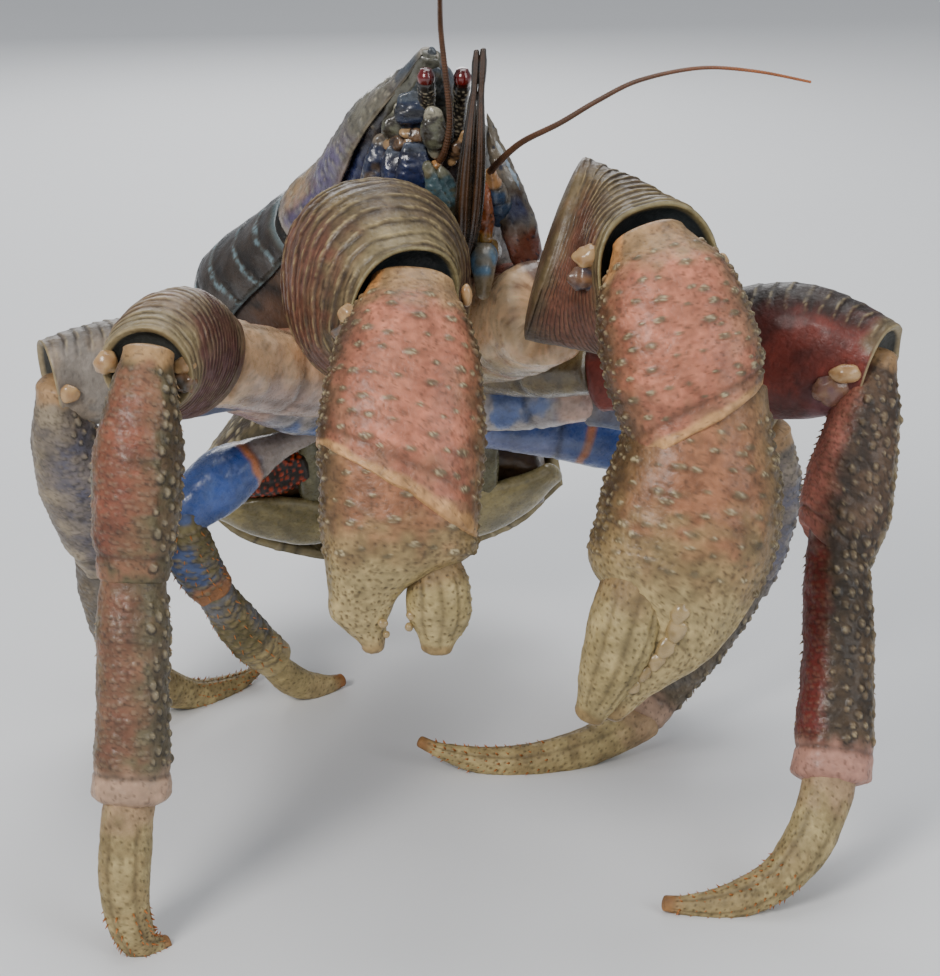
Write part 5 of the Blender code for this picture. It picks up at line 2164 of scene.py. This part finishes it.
RIGHT_THIRD = Leg(
    name="leg3_right",
    base=Form(((-38, 52, 96), (-63, 25, 113)), (0, 0.4, 1), (18, 20, 20, 18), (20, 22, 22, 20)),
    merus=Form(((-62, 26, 112), (-90, 12, 122), (-112, 3, 119)), (0, 0.2, 1),
               (16, 19, 20, 18), (18, 27, 28, 23)),
    carpus=Form(((-110, 0, 119), (-110, 6, 92), (-101, 17, 62)), (-0.3, -1, 0.2),
                (11, 17, 20, 19, 15), (11, 17, 19, 18, 15)),
    propodus=Form(((-103, 17, 63), (-102, 30, 38), (-96, 43, 16)), (-0.3, -1, -0.3),
                  (14, 16, 16, 16, 16), (14, 16, 16, 16, 15)),
    dactylus=Form(((-97, 42, 18), (-84, 57, -5), (-64, 75, 4)), (0, 0.3, 1),
                  (12, 11, 9, 7, 3), (12, 11, 9, 7, 3)),
    colours=BLUE_LEG,
    condyles=(Knob((-106.0, -4.8, 118.1), (5.2, 3.4, 5.2)),),
    merus_arc=(40.0, 150.0),
    slot=Slot.BLUE,
    seed=500,
)

LEFT_THIRD = Leg(
    name="leg3_left",
    base=Form(((-2, 50, 98.5), (34, 43, 104)), (0, 0.3, 1), (18, 20, 20, 18), (18, 19, 20, 18)),
    merus=Form(((33, 43, 102), (64, 45, 106), (83, 43, 92)), (0, 0.2, 1),
               (16, 19, 20, 16), (18, 26, 27, 20)),
    carpus=Form(((85, 42, 92), (87, 48, 66), (80, 48, 42)), (0.3, -1, 0.2),
                (12, 17, 19, 18, 15), (12, 17, 18, 17, 14)),
    propodus=Form(((80, 47, 44), (66, 34, 30), (50, 26, 12)), (0.2, -1, 0.5),
                  (14, 16, 16, 16, 15), (14, 16, 16, 15, 13)),
    dactylus=Form(((50, 25, 10), (16, 6, -4), (-14, 13, 8)), (0, -0.3, 1),
                  (12, 11, 9.5, 7, 3), (11, 11, 9.5, 7, 3)),
    colours=BLUE_LEG,
    condyles=(),
    merus_arc=(40.0, 150.0),
    slot=Slot.BLUE,
    seed=600,
)

RIGHT_FOURTH = PincerLeg(
    name="leg4_right",
    merus=Form(((-38, 66, 86), (-66, 52, 82), (-83, 40, 66)), (0, 0.3, 1),
               (6, 9, 17, 14), (6, 8, 18, 14)),
    carpus=Form(((-82, 38, 68), (-82, 38, 54), (-74, 42, 43)), (-0.3, -1, 0),
                (10, 14, 14, 12), (10, 13, 13, 11)),
    propodus=Form(((-75, 41, 45), (-68, 46, 28), (-58, 54, 16)), (-0.3, -1, 0),
                  (10, 12, 13, 12), (10, 12, 12, 11)),
    finger=Form(((-60, 53, 18), (-53, 60, 0), (-39, 69, 2.5)), (0.5, -0.8, 0),
                (8, 9.5, 8, 4), (8, 9, 7, 3.5)),
    merus_patches=(band((170, 162, 160), -1.0, 0.5, 0.03, 0.85),
                   band((214, 140, 92), 0.5, 0.55, 0.015, 0.9)),
    seed=700,
)

LEFT_FOURTH = PincerLeg(
    name="leg4_left",
    merus=Form(((-4, 66, 86), (28, 70, 86), (52, 71, 73)), (0, 0.3, 1),
               (13, 15, 16, 13), (14, 17, 17, 13)),
    carpus=Form(((51, 71, 75), (60, 71, 58), (59, 68, 42)), (0.3, -1, 0),
                (10, 14, 14, 12), (10, 13, 13, 11)),
    propodus=Form(((59, 68, 44), (60, 66, 28), (54, 64, 16)), (0.3, -1, 0),
                  (10, 12, 13, 12), (10, 12, 12, 11)),
    finger=Form(((55, 64, 18), (52, 65, 0), (38, 70, 2.5)), (0, -1, 0.2),
                (8, 9.5, 8, 4), (8, 9, 7, 3.5)),
    merus_patches=(Patch((150, 150, 176), (-1.0, 0.6), (20.0, 340.0), 0.14, 0.6),
                   band((190, 124, 76), 0.62, 0.66, 0.012, 0.8)),
    seed=800,
)

CARAPACE = Carapace(Form(
    ((-27, 84, 88), (-20, 46, 140), (-10, -5, 210)), (0.1, 0.87, 0.48),
    (76, 106, 112, 82, 54, 36, 5), (38, 52, 52, 44, 34, 22, 4), power=2.2,
))

SLOPE = (0.0, -0.5, 0.866)

ABDOMEN = Abdomen(
    dome=Form(((-83, 92, 55), (-27, 96, 51.0), (29, 96, 61.5)), SLOPE,
              (26, 61, 80, 89, 92, 89, 80, 60, 24), (18, 48, 63, 71, 73, 71, 63, 47, 16), power=2.1),
    belly=Form(((-73, 95, 54), (-27, 103.9, 53), (21, 99, 59)), SLOPE,
               (14, 15, 15, 15, 14), (22, 44, 52, 44, 22), power=2.6),
    lenses=(
        ("right", Form(((-77, 89, 50.5), (-55, 91, 44.5), (-33, 91, 45.5)), SLOPE, (4, 6, 6, 5),
                       (7, 19, 20, 9), power=2.2)),
        ("left", Form(((-16, 91, 44), (6, 92, 46), (25, 90, 62)), SLOPE, (5, 6, 6, 5),
                      (9, 20, 19, 9), power=2.2)),
    ),
    posts=(
        Form(((-48.5, 83, 76), (-48.5, 89, 53)), (0, -1, -0.4), (5, 7, 7.4, 6), (5, 7, 7, 5),
             power=2.4),
        Form(((5, 83, 80), (5.4, 88, 57)), (0, -1, -0.4), (5, 7, 7.4, 6), (5, 7, 7, 5),
             power=2.4),
        Form(((-25, 84, 77), (-26, 94, 45)), (0, -1, -0.4), (10, 14, 13, 7), (6, 8, 8, 5), power=2.0),
    ),
    spot=Form(((-74, 84, 63), (-50, 83, 66)), SLOPE, (8, 10, 10, 6), (9, 17, 18, 10), power=2.2),
)


def rod(start: Triple, stop: Triple, widths: tuple[float, ...],
        up: Triple = (0, -1, 0.3)) -> Form:
    """Return the form of a round rod.

    Args:
        start: Its root, in millimetres.
        stop: Its far end.
        widths: Its widths along the way.
        up: Where its angle of 90 degrees looks.

    Returns:
        The form.
    """
    return Form((start, stop), up, widths, widths, power=2.0)


def plate_coat(base: Colour, second: Colour, edge: Colour) -> Coat:
    """Return the coat of a small plate of the face.

    Args:
        base: Its colour.
        second: The colour that mottles it.
        edge: The colour of its edge.

    Returns:
        The coat.
    """
    return Coat(base, second, (band(edge, -1.0, 0.08, 0.05, 0.6),
                               band(edge, 0.92, 2.0, 0.05, 0.6)),
                dark=(20, 20, 28), blotch=2.5, speck=0.6)


def slip(start: Triple, stop: Triple, widths: tuple[float, ...],
         heights: tuple[float, ...]) -> Form:
    """Return the form of a small plate that faces forward.

    Args:
        start: Its root, in millimetres.
        stop: Its far end.
        widths: Its widths along the way.
        heights: Its thicknesses along the way.

    Returns:
        The form.
    """
    return Form((start, stop), (0, -1, 0.3), tuple(1.25 * width for width in widths), heights,
                power=3.0)


NAVY_PLATE = plate_coat((34, 42, 74), (30, 30, 50), (104, 112, 126))
BROWN_PLATE = plate_coat((84, 76, 74), (50, 54, 76), (140, 134, 124))
BROW_PLATE = plate_coat((34, 42, 62), (26, 28, 34), (84, 92, 100))
SCALE_PLATE = plate_coat((92, 98, 88), (52, 50, 46), (168, 172, 164))
FLECK_PLATE = plate_coat((112, 90, 70), (48, 40, 38), (196, 166, 128))
TEAL_PLATE = plate_coat((66, 86, 90), (72, 72, 62), (130, 132, 116))
ROSTRUM_COAT = Coat((78, 86, 92), (96, 98, 92), (
    band((54, 62, 74), 0.7, 2.0, 0.1, 0.8),
), dark=(30, 34, 40), blotch=3.0, speck=0.5)
CHEEK_PLATE = Coat((134, 134, 134), (100, 92, 88), (
    band((128, 62, 44), -1.0, 0.22, 0.08, 0.8),
    Patch((36, 50, 104), (0.3, 0.46), (60.0, 130.0), 0.08, 0.7),
    band((104, 98, 86), 0.7, 2.0, 0.1, 0.7),
), dark=(34, 40, 62), blotch=2.5, speck=0.9)
SILVER_PLATE = plate_coat((168, 186, 204), (120, 134, 156), (196, 206, 214))
RUST_PLATE = plate_coat((150, 84, 40), (88, 54, 40), (190, 160, 80))

HEAD = Head(
    stalks={
        "right": rod((-10.6, 1, 187), (-11.1, -8.5, 202), (3, 3.2, 4.4, 4.6)),
        "left": rod((-3.3, 1, 183), (-2.0, -8.3, 202), (3.4, 3.4, 3.4, 4.2)),
    },
    eyes={side: rod((x, -8.7, 201.4), (x, -9.4, 205.4), (3.6, 4.4, 4.4, 3.2))
          for side, x in (("right", -11.1), ("left", -1.9))},
    peduncles={
        "right": Form(((-5.6, 4, 163), (-8.6, -6.2, 180.6)), (0, -1, 0.3), (7, 7, 5, 2.6),
                      (6, 7, 5, 2.6), power=2.0),
        "left": Form(((8.6, 6, 163), (5.4, -3.6, 178.0)), (0, -1, 0.3), (7, 7, 5, 2.6),
                     (6, 7, 5, 2.6), power=2.0),
    },
    whips={
        "right": ((-8.7, -5.0, 179.6), (-6.4, -8.5, 184.5), (-5.1, -10.5, 193.0),
                  (-6.1, -13, 204.5), (-7.3, -17.5, 217.5), (-7.6, -30, 231.0),
                  (-10.0, -46, 245.0), (-14, -59.4, 255.6)),
        "left": ((5.0, -3.5, 177.4), (7.4, -8, 181.4), (13.2, -14, 188.0), (22.5, -20, 194.2),
                 (32.0, -23.5, 200.8), (42.0, -26, 206.3), (56.5, -28, 209.7), (70, -30, 209.3),
                 (83.6, -32, 207)),
    },
    stems={
        "right": Form(((-1.9, -3, 157), (-2.4, -16, 172), (0.9, -17, 200.7)), (0, -1, 0.3),
                      (3.4, 4.4, 4.4, 3.4, 1.9), (4.0, 4.4, 4.2, 3.4, 1.9), power=2.2),
        "left": Form(((-0.1, -2.6, 157), (2.6, -15, 172), (2.7, -17, 200.7)), (0, -1, 0.3),
                     (3.0, 3.6, 3.8, 3.0, 1.8), (4.0, 4.4, 4.2, 3.4, 1.8), power=2.2),
    },
    clubs={
        "right": rod((0.9, -16.8, 199.6), (1.6, -19.0, 212.0), (1.9, 1.7, 1.9, 2.0, 1.4), (0, -1, 0)),
        "left": rod((2.7, -16.8, 199.6), (3.3, -19.2, 212.4), (1.8, 1.7, 2.1, 2.2, 1.5), (0, -1, 0)),
    },
    mouth={
        "right": Form(((-7.0, 12, 152), (-5.2, -7, 162), (-5.2, -9, 147)), (0, -1, 0.5),
                      (6, 7, 6.8, 4), (7, 7.5, 6.5, 4), power=2.0),
        "left": Form(((5.0, 12, 152), (3.4, -7, 162), (3.4, -9, 147)), (0, -1, 0.5),
                     (6, 7, 6.8, 4), (7, 7.5, 6.5, 4), power=2.0),
    },
    plates=(
        ("rostrum", slip((-10.8, 1.5, 196.0), (-9.9, -3.0, 208.4), (9, 8, 5.6, 2.2), (6, 6, 5, 2.4)),
         ROSTRUM_COAT),
        ("brow_inner", slip((-14.0, -3.5, 189.4), (-14.4, -5.0, 197.4), (6, 8.4, 8, 6), (3, 5, 4, 2)),
         BROW_PLATE),
        ("brow_outer", slip((-19.5, -0.5, 185.0), (-18.6, -1.5, 193.6), (4, 6, 5, 2), (3, 5, 4, 2)),
         SCALE_PLATE),
        ("eye_scale", slip((-8.7, -5.6, 183.6), (-9.5, -7.4, 194.0), (3, 5.4, 5.2, 3.4), (3, 5, 4, 2)),
         SCALE_PLATE),
        ("fleck_inner", slip((-10.8, -5.5, 187.4), (-16.2, -5.5, 188.4), (2.4, 3.2, 3, 2),
                             (3, 4, 4, 2)), FLECK_PLATE),
        ("fleck_outer", slip((-20.6, -2.2, 184.6), (-15.6, -5.0, 186.2), (2.4, 3.4, 3, 2),
                             (3, 4, 4, 2)), FLECK_PLATE),
        ("cheek_navy", slip((-14.4, -4.0, 172.6), (-14.2, -5.6, 184.6), (5, 7.6, 7.0, 5),
                            (4, 6, 5, 2)), NAVY_PLATE),
        ("cheek_blue", slip((-19.8, -2.4, 172.0), (-18.8, -3.6, 183.4), (5, 6.8, 6.4, 4.4),
                            (4, 6, 5, 2)), NAVY_PLATE),
        ("cheek_brown", slip((-24.8, 1.0, 171.0), (-22.0, 0.2, 185.0), (5, 7.0, 6.4, 4.4),
                             (4, 6, 5, 2)), BROWN_PLATE),
        ("scale_teal", slip((-4.6, -6.5, 163.5), (-10.6, -7.2, 179.6), (4, 5, 4.4, 2.4),
                            (4, 5, 4, 2)), TEAL_PLATE),
        ("scale_inner", slip((-1.6, -5.5, 164.0), (-7.0, -8.0, 179.0), (3, 4, 3.6, 2),
                             (3, 4, 3.6, 2)), TEAL_PLATE),
        ("joint_cream", slip((-4.4, -6.0, 181.6), (-2.0, -8.0, 187.6), (2, 2.8, 2.6, 1.6),
                             (2, 2.6, 2.4, 1.6)), FLECK_PLATE),
        ("side_cheek", Form(((15.2, 6, 152.0), (10.2, 3.5, 170.0), (4.9, 8, 189.0)),
                            (0.3, -1, 0.3), (8.4, 10, 8.4, 5.4, 1.6), (5, 7, 6, 4, 1.4), power=2.0),
         CHEEK_PLATE),
        ("side_rim", slip((13.6, 4.4, 167.0), (7.6, 5.2, 182.0), (1.2, 2, 1.8, 1), (1.6, 2.4, 2, 1)),
         SILVER_PLATE),
        ("side_rust", slip((4.2, -2.6, 160.0), (3.9, -1.6, 176.0), (3, 3.4, 3, 1.6), (3, 4, 3.6, 2)),
         RUST_PLATE),
    ),
)

STUDIO = Studio((
    Lamp((-0.6, -0.95, 0.85), 0.45, 14.0, (1.0, 0.97, 0.93)),
    Lamp((0.8, -0.75, 0.6), 0.7, 5.0, (0.95, 0.98, 1.0)),
    Lamp((0.1, 0.3, 1.3), 0.9, 8.0),
    Lamp((-0.1, 0.9, 0.5), 0.7, 4.0),
))


def keep_inside(piece: Object, box: tuple[Vector, Vector]) -> None:
    """Press what reaches past the solids' box, such as a foot's sole, flat against it.

    Args:
        piece: The piece.
        box: The box's low and high corners.
    """
    mesh = piece.data
    flat = np.zeros(len(mesh.vertices) * 3, np.float32)
    mesh.vertices.foreach_get("co", flat)
    points = flat.reshape(-1, 3)
    held = np.clip(points, np.array(box[0]), np.array(box[1]))
    mesh.vertices.foreach_set("co", held.astype(np.float32).ravel())
    mesh.update()


def main() -> None:
    """Build the crab round its frame."""
    logging.basicConfig(level=logging.INFO, format="%(message)s")
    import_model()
    frame_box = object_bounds()
    assemblies = {
        "carapace": CARAPACE, "abdomen": ABDOMEN, "head": HEAD, "right claw": RIGHT_CLAW,
        "left claw": LEFT_CLAW, "right second leg": RIGHT_SECOND, "left second leg": LEFT_SECOND,
        "right third leg": RIGHT_THIRD, "left third leg": LEFT_THIRD,
        "right fourth leg": RIGHT_FOURTH, "left fourth leg": LEFT_FOURTH,
    }
    faces = 0
    for title, assembly in assemblies.items():
        made = assembly.build()
        for piece in made:
            keep_inside(piece, frame_box)
            faces += len(piece.data.polygons)
            LOG.info("%s: %s, %d faces", title, piece.name, len(piece.data.polygons))
    LOG.info("%d faces in all", faces)
    STUDIO.build()


if __name__ == "__main__":
    main()
